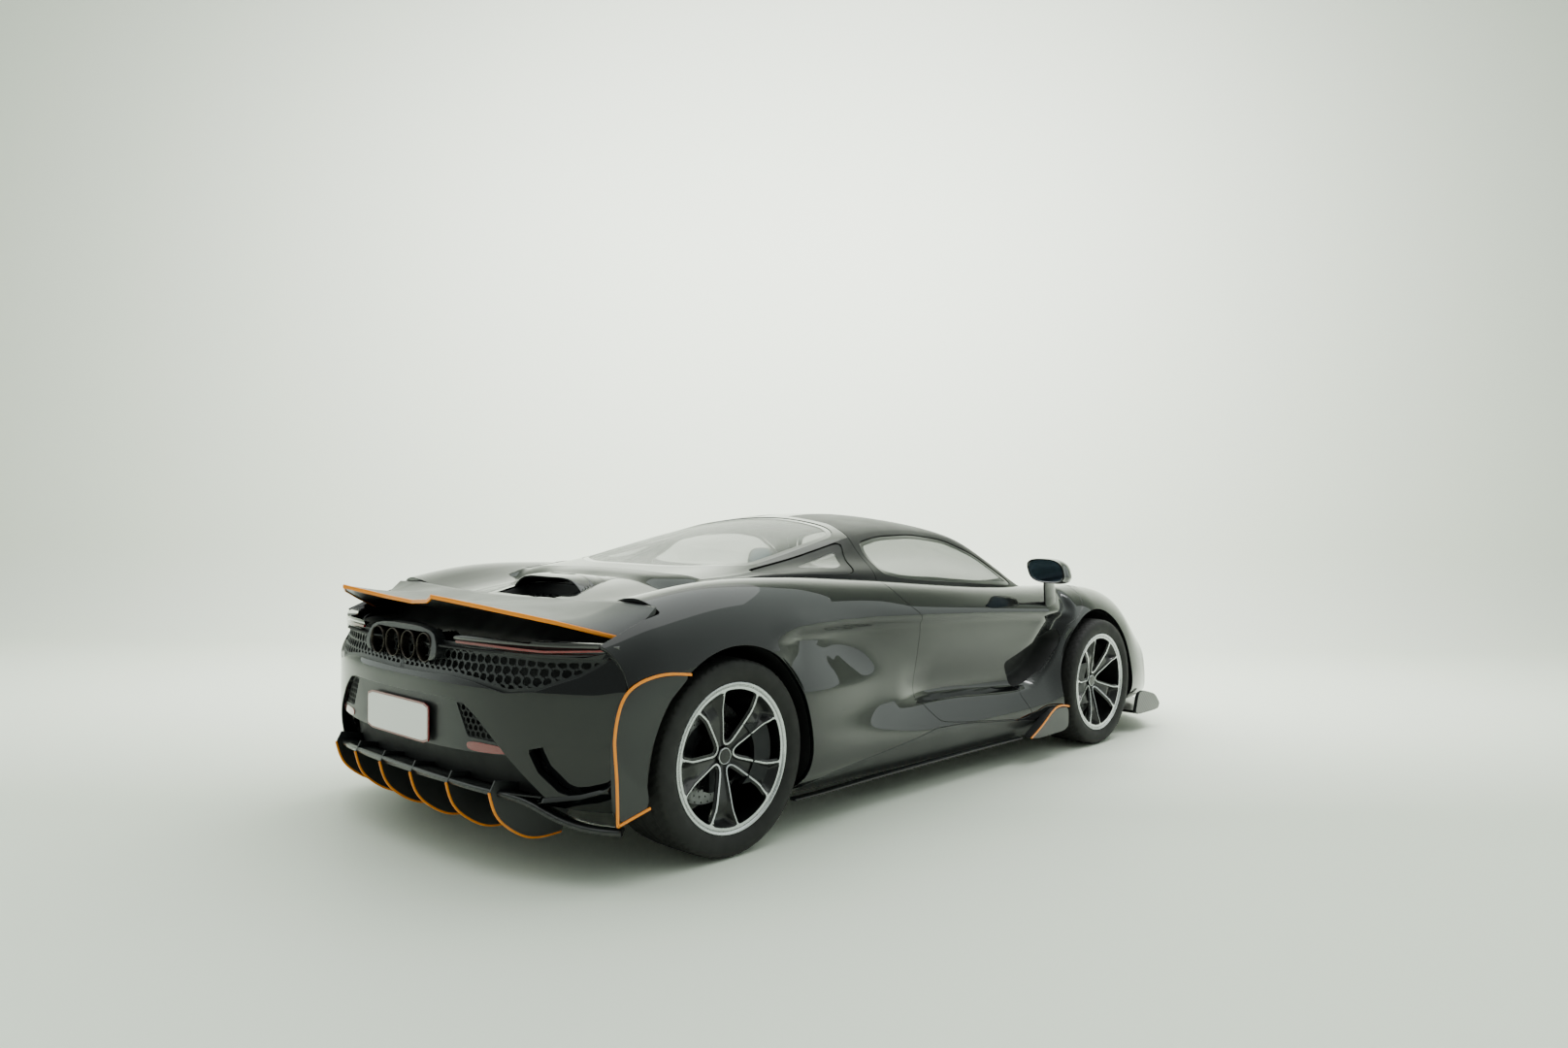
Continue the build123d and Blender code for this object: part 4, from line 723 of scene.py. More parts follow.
def spanned(tree, value, low, high, start=0.0, end=1.0, kind="LINEAR"):
    """A value carried from the span start to end onto the span low to high."""
    span = node(tree, "ShaderNodeMapRange", {"Value": value}, interpolation_type=kind)
    for socket, number in (("From Min", start), ("From Max", end), ("To Min", low), ("To Max", high)):
        span.inputs[socket].default_value = number
    return span.outputs["Result"]


def varied(tree, shader, place, scale, low, high):
    """Roughness that drifts between two values with a slow noise; returns the noise."""
    noise = node(tree, "ShaderNodeTexNoise", {"Vector": place}, Scale=scale, Detail=3.0).outputs["Fac"]
    tree.links.new(spanned(tree, noise, low, high, 0.3, 0.7), shader.inputs["Roughness"])
    return noise


def toned(tree, shader, value, first, last, end=1.0):
    """Base colour from a ramp between two colours, read at a value."""
    tone = node(tree, "ShaderNodeValToRGB", {"Fac": value})
    low, high = tone.color_ramp.elements
    low.color, high.color, high.position = linear(first), linear(last), end
    tree.links.new(tone.outputs["Color"], shader.inputs["Base Color"])


def grained(tree, shader, place, scale, strength, height, cells=False, detail=2.0):
    """Fine bumps of a height in metres: a noise, or rounded cells."""
    if cells:
        bumps = node(tree, "ShaderNodeTexVoronoi", {"Vector": place}, Scale=scale).outputs["Distance"]
    else:
        bumps = node(tree, "ShaderNodeTexNoise", {"Vector": place}, Scale=scale, Detail=detail).outputs["Fac"]
    bump = node(tree, "ShaderNodeBump", {"Height": bumps}, Strength=strength, Distance=height)
    tree.links.new(bump.outputs["Normal"], shader.inputs["Normal"])


def finish(name, colour, rough, tones=None, grain=None, **sockets):
    """A material with drifting roughness (noise scale, low, high), tones on that noise, and grain."""
    made, tree, shader = material(name, colour, **sockets)
    place = object_coordinates(tree)
    noise = varied(tree, shader, place, *rough)
    if tones:
        toned(tree, shader, noise, *tones)
    if grain:
        grained(tree, shader, place, *grain)
    return made


FINISH = {}
FLAKE_SHADE = (0.3628, 0.3771, 0.3011)  # the paint's tone between its flakes, as shares of its colour


def paint(colour):
    """Clear-coated metallic paint, near black: a dark base with fine flake under a hard gloss."""
    made, tree, shader = material("black_metallic_paint", colour, Coat_Weight=1.0, Coat_Roughness=0.015,
                                  IOR=1.35, Specular_IOR_Level=0.04)
    place = object_coordinates(tree)
    varied(tree, shader, place, 3.0, 0.3, 0.38)
    # flake is finer than a millimetre; drawn at 1.6 mm so that it shows
    flake = node(tree, "ShaderNodeTexVoronoi", {"Vector": place}, Scale=620.0)
    between = [share * level for share, level in zip(FLAKE_SHADE, colour)]
    toned(tree, shader, flake.outputs["Distance"], colour, between, 0.55)
    return made


def woven_carbon():
    """Twill carbon fibre under satin lacquer: 2 mm tows whose two directions shine in turn."""
    made, tree, shader = material("twill_carbon_fibre", "#101112", Metallic=0.3, Coat_Weight=0.6,
                                  Coat_Roughness=0.12)
    place = object_coordinates(tree)
    # the twill repeats every 8 mm, drawn at 12 mm so that it shows
    wave = node(tree, "ShaderNodeTexWave", {"Vector": place}, Scale=26.0, bands_direction="DIAGONAL")
    checker = node(tree, "ShaderNodeTexChecker", {"Vector": place}, Scale=160.0)
    mix = node(tree, "ShaderNodeMath", {0: wave.outputs["Fac"], 1: checker.outputs["Fac"]},
               operation="MULTIPLY").outputs["Value"]
    toned(tree, shader, mix, "#0D0E0F", "#26282A")
    tree.links.new(spanned(tree, mix, 0.42, 0.28), shader.inputs["Roughness"])
    return made


def satin_black():
    """Satin-painted composite, moulded: even dark grey with a soft broad sheen."""
    return finish("satin_black_composite", "#1D1F20", (6.0, 0.36, 0.46), grain=(900.0, 0.05, 0.0004),
                  IOR=1.5, Coat_Weight=0.15, Coat_Roughness=0.35)


def orange(colour):
    """Bright orange gloss enamel on the edges of the aerodynamic parts."""
    return finish("orange_enamel", colour, (8.0, 0.32, 0.4), IOR=1.45, Coat_Weight=0.15, Coat_Roughness=0.1)


def moulded_black():
    """Unpainted black polypropylene: dull, with a fine moulded grain."""
    return finish("moulded_black_plastic", "#101112", (9.0, 0.58, 0.72), grain=(520.0, 0.12, 0.0006, True),
                  IOR=1.49)


def gloss_black():
    """Piano-black lacquered plastic."""
    return finish("piano_black_plastic", "#0A0B0C", (5.0, 0.08, 0.14), IOR=1.5, Coat_Weight=0.8,
                  Coat_Roughness=0.03)


def pillar_black():
    """Black lacquer on the pillars, rubbed down so that it mirrors little."""
    return finish("pillar_lacquer", "#0A0C0C", (5.0, 0.4, 0.5), IOR=1.35, Coat_Weight=0.12,
                  Coat_Roughness=0.06, Specular_IOR_Level=0.2)


def window_glass(name, tint, alpha, mirror=1.0):
    """Laminated float glass, seen as a thin tinted sheet that mirrors what stands round it."""
    made = finish(name, tint, (2.0, 0.02, 0.035), IOR=1.52, Alpha=alpha, Coat_Weight=mirror,
                  Coat_Roughness=0.0, Coat_IOR=1.52)
    made.surface_render_method = "BLENDED"
    return made


def rubber():
    """Carbon-black tyre rubber, moulded: deep grey, dull, with fine scuffing."""
    return finish("tyre_rubber", "#161616", (22.0, 0.72, 0.86), ("#101010", "#1E1E1D"),
                  (420.0, 0.25, 0.0005, False, 3.0), IOR=1.52)


def rim_black():
    """Forged aluminium, painted gloss black and lacquered."""
    return finish("gloss_black_wheel_paint", "#0A0B0C", (12.0, 0.4, 0.5), Coat_Weight=0.5,
                  Coat_Roughness=0.08, Specular_IOR_Level=0.3)


def machined():
    """Aluminium cut on a lathe and lacquered: bright, with hair-fine turning marks."""
    return finish("machined_aluminium", "#C9CCCE", (60.0, 0.22, 0.34), grain=(900.0, 0.08, 0.0003),
                  Metallic=1.0, Coat_Weight=0.3, Coat_Roughness=0.1)


def cast_metal(name, colour, low, high):
    """Sand-cast or forged metal, blasted: grey with a soft grain."""
    return finish(name, colour, (30.0, low, high), grain=(350.0, 0.2, 0.0006, False, 3.0), Metallic=0.9)


def pipe_steel():
    """Drawn stainless steel, blued and sooted by heat."""
    return finish("heat_blued_steel", "#3A3938", (14.0, 0.22, 0.4), ("#2B2A2C", "#5B534A"), Metallic=1.0)


def leather(name, colour):
    """Drum-dyed full-grain hide, semi-aniline: small pebbled grain of about a millimetre."""
    return finish(name, colour, (14.0, 0.46, 0.6), grain=(420.0, 0.3, 0.0008, True), IOR=1.5,
                  Sheen_Weight=0.15, Sheen_Roughness=0.5)


def suede():
    """Microfibre suede with a short nap."""
    return finish("microfibre_suede", "#1B1B1C", (18.0, 0.8, 0.92), grain=(1100.0, 0.3, 0.0004),
                  Sheen_Weight=0.6, Sheen_Roughness=0.4)


def lens(name, colour, metal=0.0):
    """Moulded acrylic lens, polished; with metal, silvered or chromed behind."""
    return finish(name, colour, (10.0, 0.05, 0.1), IOR=1.49, Metallic=metal, Coat_Weight=1.0,
                  Coat_Roughness=0.02)


def stage_floor(colour):
    """A matt pale studio floor."""
    return finish("pale_studio_floor", colour, (0.6, 0.5, 0.62), IOR=1.4)


def mix_finishes(colours):
    """Make every material of the car once."""
    FINISH.update(
        paint=paint(colours.body), carbon=woven_carbon(), satin=satin_black(), orange=orange(colours.accent),
        plastic=moulded_black(), gloss=gloss_black(), pillar=pillar_black(), rubber=rubber(), rim=rim_black(),
        glass=window_glass("green_tinted_glass", "#22322B", 0.3, 0.75),
        side_glass=window_glass("smoked_glass", "#0B100F", 0.5, 0.4),
        clear=window_glass("clear_lens_cover", "#182022", 0.16), machined=machined(), pipe=pipe_steel(),
        disc=cast_metal("ground_cast_iron", "#9A9B9C", 0.3, 0.45),
        cast=cast_metal("blasted_aluminium", "#4A4C4E", 0.45, 0.6),
        caliper=cast_metal("dark_anodised_aluminium", "#2A2B2D", 0.35, 0.5),
        leather=leather("black_hide", colours.hide), suede=suede(), floor=stage_floor(colours.floor),
        red=lens("dark_red_acrylic", "#7A0A10"), smoke=lens("smoked_acrylic", "#0C0606"),
        white=lens("white_enamelled_plate", "#E9E9E6"), mirror=lens("silvered_blue_glass", "#8FA6BC", 1.0))


# ---- shared look-ups ---------------------------------------------------------------------
STATION_STEP = 15.0
HEIGHT_STEP = 6.0
STATIONS = np.arange(-2240.0, 2290.0, STATION_STEP)
HEIGHTS = np.arange(110.0, 980.0, HEIGHT_STEP)
SECTION_LINES = natural_cubic(body_sections(STATIONS), np.linspace(0, 16, 481))
NO_BODY = -60.0


def half_widths():
    """Outermost half width of the body at each station and height."""
    table = []
    for line in SECTION_LINES:
        y, z = line[:241].T
        z0, z1 = z[:-1, None], z[1:, None]
        crosses = (np.minimum(z0, z1) <= HEIGHTS) & (np.maximum(z0, z1) > HEIGHTS)
        t = (HEIGHTS - z0) / np.where(z1 == z0, 1, z1 - z0)
        table.append(np.where(crosses, y[:-1, None] + t * np.diff(y)[:, None], NO_BODY).max(0))
    return np.array(table)


WIDTHS = half_widths()


def half_width(x, z):
    """Half width of the body at station x and height z, by bilinear look-up."""
    i = np.clip((np.asarray(x) - STATIONS[0]) / STATION_STEP, 0, len(STATIONS) - 1.001)
    j = np.clip((np.asarray(z) - HEIGHTS[0]) / HEIGHT_STEP, 0, len(HEIGHTS) - 1.001)
    a, b = np.floor(i).astype(int), np.floor(j).astype(int)
    s, t = i - a, j - b
    low = (1 - s) * WIDTHS[a, b] + s * WIDTHS[a + 1, b]
    return (1 - t) * low + t * ((1 - s) * WIDTHS[a, b + 1] + s * WIDTHS[a + 1, b + 1])


def top_height(x, y):
    """Height of the body's upper side at station x and distance y."""
    x, y = np.broadcast_arrays(np.asarray(x, float), np.abs(np.asarray(y, float)))
    i = np.clip(np.round((x - STATIONS[0]) / STATION_STEP).astype(int), 0, len(STATIONS) - 1)
    out = np.zeros(x.shape)
    for k in np.unique(i):
        upper = SECTION_LINES[k][60:241]
        upper = upper[upper[:, 1] > 300]
        upper = upper[np.argsort(upper[:, 0])]
        out[i == k] = np.interp(y[i == k], upper[:, 0], upper[:, 1])
    return out


def inside_body(x, y, z):
    """Rough signed distance inside the body."""
    return np.minimum(half_width(x, z) - np.abs(y), top_height(x, y) - z)


def seam(surface, line, beyond=-1.0, width=3.0):
    """A joint between panels: a groove along a side-view line, beyond a distance from the middle."""
    return trimmed(surface, lambda x, y, z: np.where(
        np.abs(y) > beyond, line_distance(x, z, np.array(line, float)) - width / 2, 50.0))


def outlet_pocket(side):
    """The dark hollow behind the opening in the flank, as deep as a hand."""
    x, z = np.meshgrid(np.arange(400, 870, 8.0), np.arange(340, 650, 8.0), indexing="ij")
    s = shaped(sheet(x, side * half_width(x, z), z, (0, side, 0)))
    edge = within(s.co[:, 0], s.co[:, 2], OUTLET_LINE)
    s.co[:, 1] -= side * (2 + POCKET_DEPTH * step(-5, 40, edge))
    s = cut(Surface(s.co, s.tri), edge + 6)
    return plate(s, 4.0, 0.5)


# ---- outlines of the tail, in rear view: distance from the centre plane, height ------------
HEX_PANEL = [(0, 636), (330, 642), (450, 632), (582, 606), (690, 618), (820, 672), (912, 742),
             (860, 728), (700, 722), (500, 734), (330, 744), (0, 744)]
TAIL_LAMP = [(318, 778), (480, 778), (700, 765), (905, 772), (925, 760), (820, 730), (560, 736),
             (330, 752)]
LAMP_STRIP = [(335, 758), (480, 757), (700, 748), (880, 757), (880, 752), (700, 742), (480, 750),
              (335, 751)]
RECESS = [(0, 566), (330, 570), (400, 564), (470, 520), (560, 440), (640, 360), (735, 262), (640, 276),
          (530, 296), (0, 306)]
PLATE_PANEL = [(0, 562), (345, 565), (400, 560), (585, 424), (596, 404), (410, 398), (0, 392)]
CORNER_MESH = [(352, 556), (402, 556), (560, 452), (575, 438), (412, 446)]
REFLECTOR = [(408, 435), (590, 428), (600, 406), (411, 401)]
SCOOP = [(668, 432), (720, 446), (860, 446), (930, 470), (930, 300), (880, 262), (760, 300), (700, 360)]
WELL_LINE = rounded([(-1520, 205), (-1620, 222), (-1730, 196), (-1762, 120), (-1762, -120), (-1730, -196),
                     (-1620, -222), (-1520, -205)], 2)
PIPE_BEZEL = [(-262, 722), (-205, 792), (205, 792), (262, 722), (235, 676), (-235, 676)]


def fascia(depth, rear=True, y=(-965, 965), z=(130, 860), size=9.0):
    """The wall of the tail or the nose: the plan curve carried up, set in by depth(y, z)."""
    ys = np.arange(y[0], y[1] + 0.1, size)
    zs = np.arange(z[0], z[1] + 0.1, size)
    yy, zz = np.meshgrid(ys, zs, indexing="ij")
    way = -1 if rear else 1
    return sheet(end_x(yy, rear) - way * depth(yy, zz), yy, zz, (way, 0, 0))


def tail_depth(y, z):
    """The bumper's ridge stands out at z 610 and falls away above and below it."""
    a = np.abs(y)
    lean = 26 * step(610, 790, z) + 20 * (1 - step(180, 430, z))
    bowl = 10 * np.exp(-((z - 700) / 50)**2)
    return lean + bowl * (1 - step(850, 930, a))


def two_sided(surface, outline):
    """Signed distance inside a rear-view outline given by its half, applied on both sides."""
    return within(np.abs(surface.co[:, 1]), surface.co[:, 2], outline)


def hexagons(y, z, pitch, hole):
    """Field that is negative inside the holes of a honeycomb of rounded hexagons."""
    row = pitch * 0.866
    best = np.full(np.shape(y), 1e9)
    for odd in (0, 1):
        j = np.round((z / row - odd) / 2) * 2 + odd
        cy = np.round((y - odd * pitch / 2) / pitch) * pitch + odd * pitch / 2
        dy, dz = np.abs(y - cy), np.abs(z - j * row)
        hexa = np.maximum(dy, dy * 0.5 + dz * 0.866)
        best = np.minimum(best, 0.65 * hexa + 0.35 * np.hypot(dy, dz))
    return best - hole


def mesh_panel(outline, depth, pitch, hole, margin, wall, size):
    """A honeycomb panel in the tail: solid near its edge, with rounded six-sided holes inside it."""
    half = np.asarray(outline, float)
    low, high = half.min(0) - 12, half.max(0) + 12
    parts = []
    for sign in (1, -1):
        y = tuple(sorted((sign * low[0], sign * high[0])))
        s = fascia(depth, True, y, (low[1], high[1]), size)
        s = cut(s, two_sided(s, half) + 6)
        holes = hexagons(np.abs(s.co[:, 1]), s.co[:, 2], pitch, hole)
        parts.append(plate(cut(s, np.maximum(holes, margin - two_sided(s, half))), wall, 0.8))
    return joined(*parts)


# ---- body skins --------------------------------------------------------------------------
CLAM_SEAM = [(-1888, 769), (-1800, 742), (-1691, 706)]
SKIRT_TOP = [(-1125, 492), (-800, 420), (-450, 330), (-112, 240)]
BUMPER_SEAM = [(1530, 610), (1640, 560), (1760, 566)]
GILL = np.array([[1040, 700], [1062, 700], [1052, 812], [1030, 812]])     # plan view, over the front arch
GILL_PITCH = 46
FLOOR_EDGE = 96
LINER_FOOT = 118
WING_HALF = 872.0
WING_THICKNESS = 22.0


def halves(surface):
    """Left and right halves of a surface, by side."""
    return {side: cut(surface, side * surface.co[:, 1]) for side, _ in SIDES}


def doors_of(surface):
    """Door skins by side, and what is left of the surface."""
    inside, outside = split(surface, door_field)
    return halves(inside), outside


@functools.lru_cache(maxsize=None)
def build_body(gap):
    """Outer panels of the body, and the doors' lower skins, worked out once."""
    doors, skin = doors_of(body_skin())
    parts = {"doors": doors}
    for name, outline, lowest in (("lid", mirrored(LID), 430), ("cover", mirrored(ENGINE_COVER), 700),
                                  ("lamp", HEADLAMP, 380)):
        line = rounded(outline, 2)

        def field(x, y, z):
            return np.where(z > lowest, within(x, np.abs(y) if name == "lamp" else y, line), -99)
        parts[name], skin = split(skin, field, gap)
    parts["skirt"], skin = split(skin, in_side_view(SKIRT_LINE), gap)
    skin = seam(seam(seam(skin, CLAM_SEAM), SKIRT_TOP, 700), BUMPER_SEAM, 600)
    for k in range(4):
        slot = rounded(GILL + np.array([GILL_PITCH * k, 0]), 2)
        skin = trimmed(skin, lambda x, y, z: 1000 * (z < 760) - within(x, np.abs(y), slot))
    skin = cut(skin, skin.co[:, 2] - FLOOR_EDGE)
    parts["front"] = cut(skin, skin.co[:, 0])
    parts["rear"] = trimmed(cut(skin, -skin.co[:, 0]), wing_room)
    return parts


def wing_spans(a):
    """Leading and trailing edges (x, z) of the wing at distances a from the centre plane."""
    span = [0, 150, 260, 322, 400, 480, 700, WING_HALF]
    lead = ([-1800, -1800, -1800, -1800, -1799, -1798, -1790, -1776],
            [872, 874, 877, 878, 881, 884, 892, 884])
    trail = ([-2180, -2205, -2252, -2284, -2243, -2205, -2050, -1892],
             [868, 880, 899, 911, 898, 885, 836, 781])
    return [[np.interp(a, span, row) for row in edge] for edge in (lead, trail)]


def wing_room(x, y, z):
    """Positive where the body keeps clear of the wing's tray and of the wing as it tilts."""
    a = np.abs(y)
    (lead_x, _), _ = wing_spans(a)
    floor = np.interp(a, [600, 660], [742, 774])
    swing = np.interp(a, [470, 490], [38, 52]) - np.hypot(x - WING_PIVOT[0], z - WING_PIVOT[1])
    room = np.maximum(np.minimum(lead_x + 5 - x, z - floor), swing)
    return -np.minimum(room, WING_HALF + 6 - a)


def build_tail():
    """The tail's wall in body colour, with its openings."""
    s = fascia(tail_depth, True, (-962, 962), (132, 850), 12.0)
    s = trimmed(s, lambda x, y, z: inside_body(x, y, z) - 1.5)
    for outline in (closed_half(HEX_PANEL, 5), TAIL_LAMP, rounded(closed_half(RECESS, 5), 1, 0.12), SCOOP):
        s = cut(s, -two_sided(s, outline))
    s = trimmed(s, lambda x, y, z: -within(y, z, rounded(PIPE_BEZEL, 2)))
    lip = ([0, 531, 660, 757, 926, 960], [312, 304, 288, 226, 215, 200])
    s = trimmed(s, lambda x, y, z: z - np.interp(np.abs(y), *lip))
    s = trimmed(s, lambda x, y, z: -np.minimum(334 - np.abs(y), z - 700))
    return trimmed(s, wing_room)


def build_nose():
    """The nose's wall in body colour, with its intakes."""
    def depth(_, z):
        return 26 * step(300, 420, z) + 10 * (1 - step(120, 220, z))
    s = fascia(depth, False, (-800, 800), (118, 640), 12.0)
    s = trimmed(s, lambda x, y, z: inside_body(x, y, z) - 1.5)
    for outline in (closed_half(NOSE_INTAKE), CORNER_INTAKE):
        s = cut(s, -two_sided(s, rounded(outline, 1, 0.15)))
    return s


def glasshouse(gap):
    """Parts of the greenhouse: glass panes, the fixed frame and the doors' frames."""
    skin = trimmed(house_skin(), lambda x, y, z:
                   z - top_height(x, y) + 8 + 100 * (np.abs(y) < 430) * (x < 900))
    doors, skin = doors_of(skin)
    parts = {}
    parts["screen"], skin = split(skin, in_plan(SCREEN_LINE), gap)
    parts["rear"], skin = split(skin, in_plan(REAR_PANE_LINE), gap)
    parts["quarter"], parts["frame"] = split(
        skin, lambda x, y, z: np.where(np.abs(y) > 500, within(x, z, QUARTER_LINE), -99), gap)
    for side, _ in SIDES:
        parts[f"pane{side}"], parts[f"frame{side}"] = split(
            doors[side], lambda x, y, z: within(x, z, PANE_LINE) - 400 * (np.abs(y) < 400), gap)
    return parts


def below_rail(x, y, z):
    """Positive on the greenhouse's sides, below the roof rails."""
    rail = tabled(HOUSE, HOUSE_STATIONS)[:, 1].T
    wide, high = (np.interp(x, HOUSE_STATIONS, row) for row in rail)
    return high + 3 - z - 400 * (np.abs(y) < 0.8 * wide)


def deck_blend():
    """The greenhouse's rear edge, run out into the deck behind it."""
    end = house_points(np.array([-1299.0]), np.linspace(1.0, 13.0, 73))[0]
    drop = end[:, 2] - top_height(end[:, 0], end[:, 1])
    end = end[drop > -6]
    drop = np.maximum(drop[drop > -6], 0)
    t = np.linspace(0, 1, 9)[:, None]
    x = end[:, 0] - 96 * t + 3
    y = np.broadcast_to(end[:, 1], x.shape)
    z = top_height(x, y) + drop * (1 - step(0, 1, t)) - 2.0 * step(0.7, 1, t)
    return plate(sheet(x, y, z, (0, 0, 1)), 4.0, 0.5)


def framed_glass(surface, field, border):
    """A pane 3 mm below the skin: clear in the middle, and printed black round its edge."""
    surface = surface.shifted(-3.0)
    clear, rim = cut(surface, field(*surface.co.T) - border, both=True)
    return plate(joined(clear, rim.marked(1)), 4.0, 0.8)


# ---- wheels ------------------------------------------------------------------------------
SPOKES = 5
RIM_DISH = 56.0                         # depth of the hub behind the rim
BARE_EDGE = 7.4                         # width of the bare metal along a window
DISC_BAND = 78.0                        # width of a disc's rubbed ring
DISC_HOLES = 36
TREAD_DEPTH = 6.0
TREAD_PITCH = 31.0
TYRE_STEPS = 290


def polar_face(near, far, dish, steps=180, rings=27):
    """A disc's face, (r, angle) to (along, across, axial): set in by dish(r)."""
    r = np.linspace(near, far, rings)[:, None]
    a = np.linspace(0, 2 * np.pi, steps, endpoint=False)[None, :]
    return np.stack(np.broadcast_arrays(r * np.cos(a), r * np.sin(a), dish(r)), -1)


def petal(far):
    """Outline of one of a wheel's five windows, along local X: narrow at the hub, kinked, wide at the rim."""
    half = np.array([(44, 0), (46, 9), (56, 19), (110, 44), (168, 71), (196, 75), (far * 0.92, 80),
                     (far * 0.955, 70), (far * 0.985, 38), (far, 0)], float)
    return rounded(np.concatenate([half, (half * [1, -1])[::-1][1:-1]]), 3, 0.2)


def rim_surface(seat):
    """Spoked face of a wheel: a dish, bare metal along every window, and black channels between."""
    far = seat - 15.0
    windows = []
    for k in range(SPOKES):
        turn = 2 * np.pi * k / SPOKES + np.pi / 2 - 0.17
        c, s = np.cos(turn), np.sin(turn)
        windows.append(petal(far) @ np.array([[c, s], [-s, c]]))

    def dish(r):
        return -4 - RIM_DISH * (1 - np.clip(r / far, 0, 1))**1.3

    def field(co):
        return -np.max([within(co[:, 0], co[:, 1], w) for w in windows], 0)

    def channel(co):
        return np.minimum(field(co) - BARE_EDGE, seat - 17 - np.hypot(co[:, 0], co[:, 1]))
    face = facing(grid(polar_face(26.0, seat - 3.0, dish), closed_v=True), (0, 0, 1))
    face = cut(face, field(face.co))
    black, bare = cut(face, channel(face.co), both=True)
    # the bare edge leans down into the window; the black channel lies lower, deepest in the forks
    bare.co[:, 2] -= 1.8 * (1 - np.clip(field(bare.co), 0, 3.0) / 3.0)**2
    fork = step(far * 0.62, far * 0.86, np.hypot(black.co[:, 0], black.co[:, 1]))
    black.co[:, 2] -= np.minimum(channel(black.co) * 1.6, 7 + 22 * fork)
    black = Surface(black.co, black.tri, None, black.mark)
    return plate(joined(black, bare.marked(1)), 18.0, 1.4, mark=0, inner=0)


def drilled_disc(radius):
    """A brake disc's ring, cross-drilled in slanted rows."""
    face = polar_face(radius - DISC_BAND, radius, lambda r: 0 * r, 180, 12)
    s = facing(grid(face, closed_v=True), (0, 0, 1))
    x, y = s.co[:, 0], s.co[:, 1]
    r, a = np.hypot(x, y), np.arctan2(y, x)
    best = np.full(len(x), 1e9)
    pitch = 2 * np.pi / DISC_HOLES
    for i, ring in enumerate(np.linspace(radius - 66, radius - 6, 4)):
        off = a - i * 0.07
        off = off - np.round(off / pitch) * pitch
        best = np.minimum(best, np.hypot(r - ring, ring * np.sin(off)))
    return plate(cut(s, best - 4.6), 12.0, 0.5)


def tyre_surface(radius, width, seat):
    """A tyre: bulged walls with moulded rings, and a directional tread cut 6 mm deep."""
    half = width / 2
    wall = radius - seat
    side = np.array([(-half + 20, seat + 1), (-half + 13, seat + 12), (-half + 4, seat + wall * 0.32),
                     (-half + 1, seat + wall * 0.55), (-half + 3, seat + wall * 0.72),
                     (-half + 9, radius - 12), (-half + 17, radius - 5.5)])
    across = np.linspace(-half + 24, half - 24, 31)
    crown = np.stack([across, radius - 5.0 * (np.abs(across) / (half - 17))**4], 1)
    walls = smooth_line(side, 11)
    y, r = np.concatenate([walls, crown, (walls * [-1, 1])[::-1]]).T
    a = np.linspace(0, 2 * np.pi, TYRE_STEPS, endpoint=False)[:, None]
    # grooves: three straight ones and V-shaped sipes about 30 mm apart
    straight = np.min([np.abs(y - c) - 4.5 for c in (-0.22 * width, 0, 0.22 * width)], 0)
    v = (a * radius + np.abs(y) * 0.75) % TREAD_PITCH
    slant = np.where(np.abs(y) > 0.09 * width, np.abs(v - TREAD_PITCH / 2) - 2.6, 9.0)
    groove = step(-1.5, 1.5, -np.minimum(straight, slant)) * (np.abs(y) < half - 12)
    r = r - TREAD_DEPTH * groove * step(radius - 9, radius - 5, r)
    bead = [(half - 22, seat - 2), (half - 40, seat - 10), (-half + 40, seat - 10), (-half + 22, seat - 2)]
    for place, height in bead:
        y, r = np.append(y, place), np.append(r, np.full((TYRE_STEPS, 1), height), 1)
    pts = np.stack(np.broadcast_arrays(r * np.cos(a), y, r * np.sin(a)), -1)
    return outward(grid(pts, closed_u=True, closed_v=True))


def place_wheel(surface, x, y, z, side):
    """From wheel space (in the wheel's plane X, Y and out along Z) to the car."""
    return surface.moved([[1, 0, 0], [0, 0, side], [0, 1, 0]], (x, y, z))


def build_wheel(x, dims, side):
    """Tyre, rim face, lip, barrel, cap and nuts of one wheel, in place."""
    z, width, seat = dims
    tyre = tyre_surface(*dims)
    tyre = (tyre if side > 0 else tyre.other_side()).moved(None, (x, side * (TYRE_FACE - width / 2), z))
    out = side * (TYRE_FACE - 13)
    face = place_wheel(rim_surface(seat), x, out, z, side)
    lip = [(-5.0, seat - 3.5), (-2, seat - 1), (0.0, seat + 3), (1.0, seat + 6.5), (-1.0, seat + 9),
           (-6, seat + 9), (-8, seat + 5), (-10, seat)]
    barrel = [(-3.0, seat - 6), (-20, seat - 11), (-width + 30, seat - 9), (-width + 22, seat + 15),
              (-width + 17, seat + 15), (-width + 22, seat + 1), (-8.0, seat + 1)]
    cap = [(-47.0, 0.01), (-47.0, 24), (-48.5, 27), (-52.0, 29.0), (-80, 29.0), (-80, 0.01)]
    cap_ring = [(-46.0, 25.5), (-45.5, 27.5), (-47.5, 29.5), (-56, 30.5), (-56, 25)]
    nut = [(-60.0, 0.01), (-60, 7.0), (-63, 8.5), (-84, 8.5), (-84, 0.01)]
    parts = [face, lathe(lip, x, out, z, side, 160, True).marked(1),
             lathe(barrel, x, out, z, side, 120, True), lathe(cap, x, out, z, side, 64),
             lathe(cap_ring, x, out, z, side, 64, True).marked(1)]
    for k in range(SPOKES):
        a = 2 * np.pi * (k + 0.5) / SPOKES + np.pi / 2
        parts.append(lathe(nut, x + 37 * np.cos(a), out, z + 37 * np.sin(a), side, 12))
    return tyre, joined(*parts)


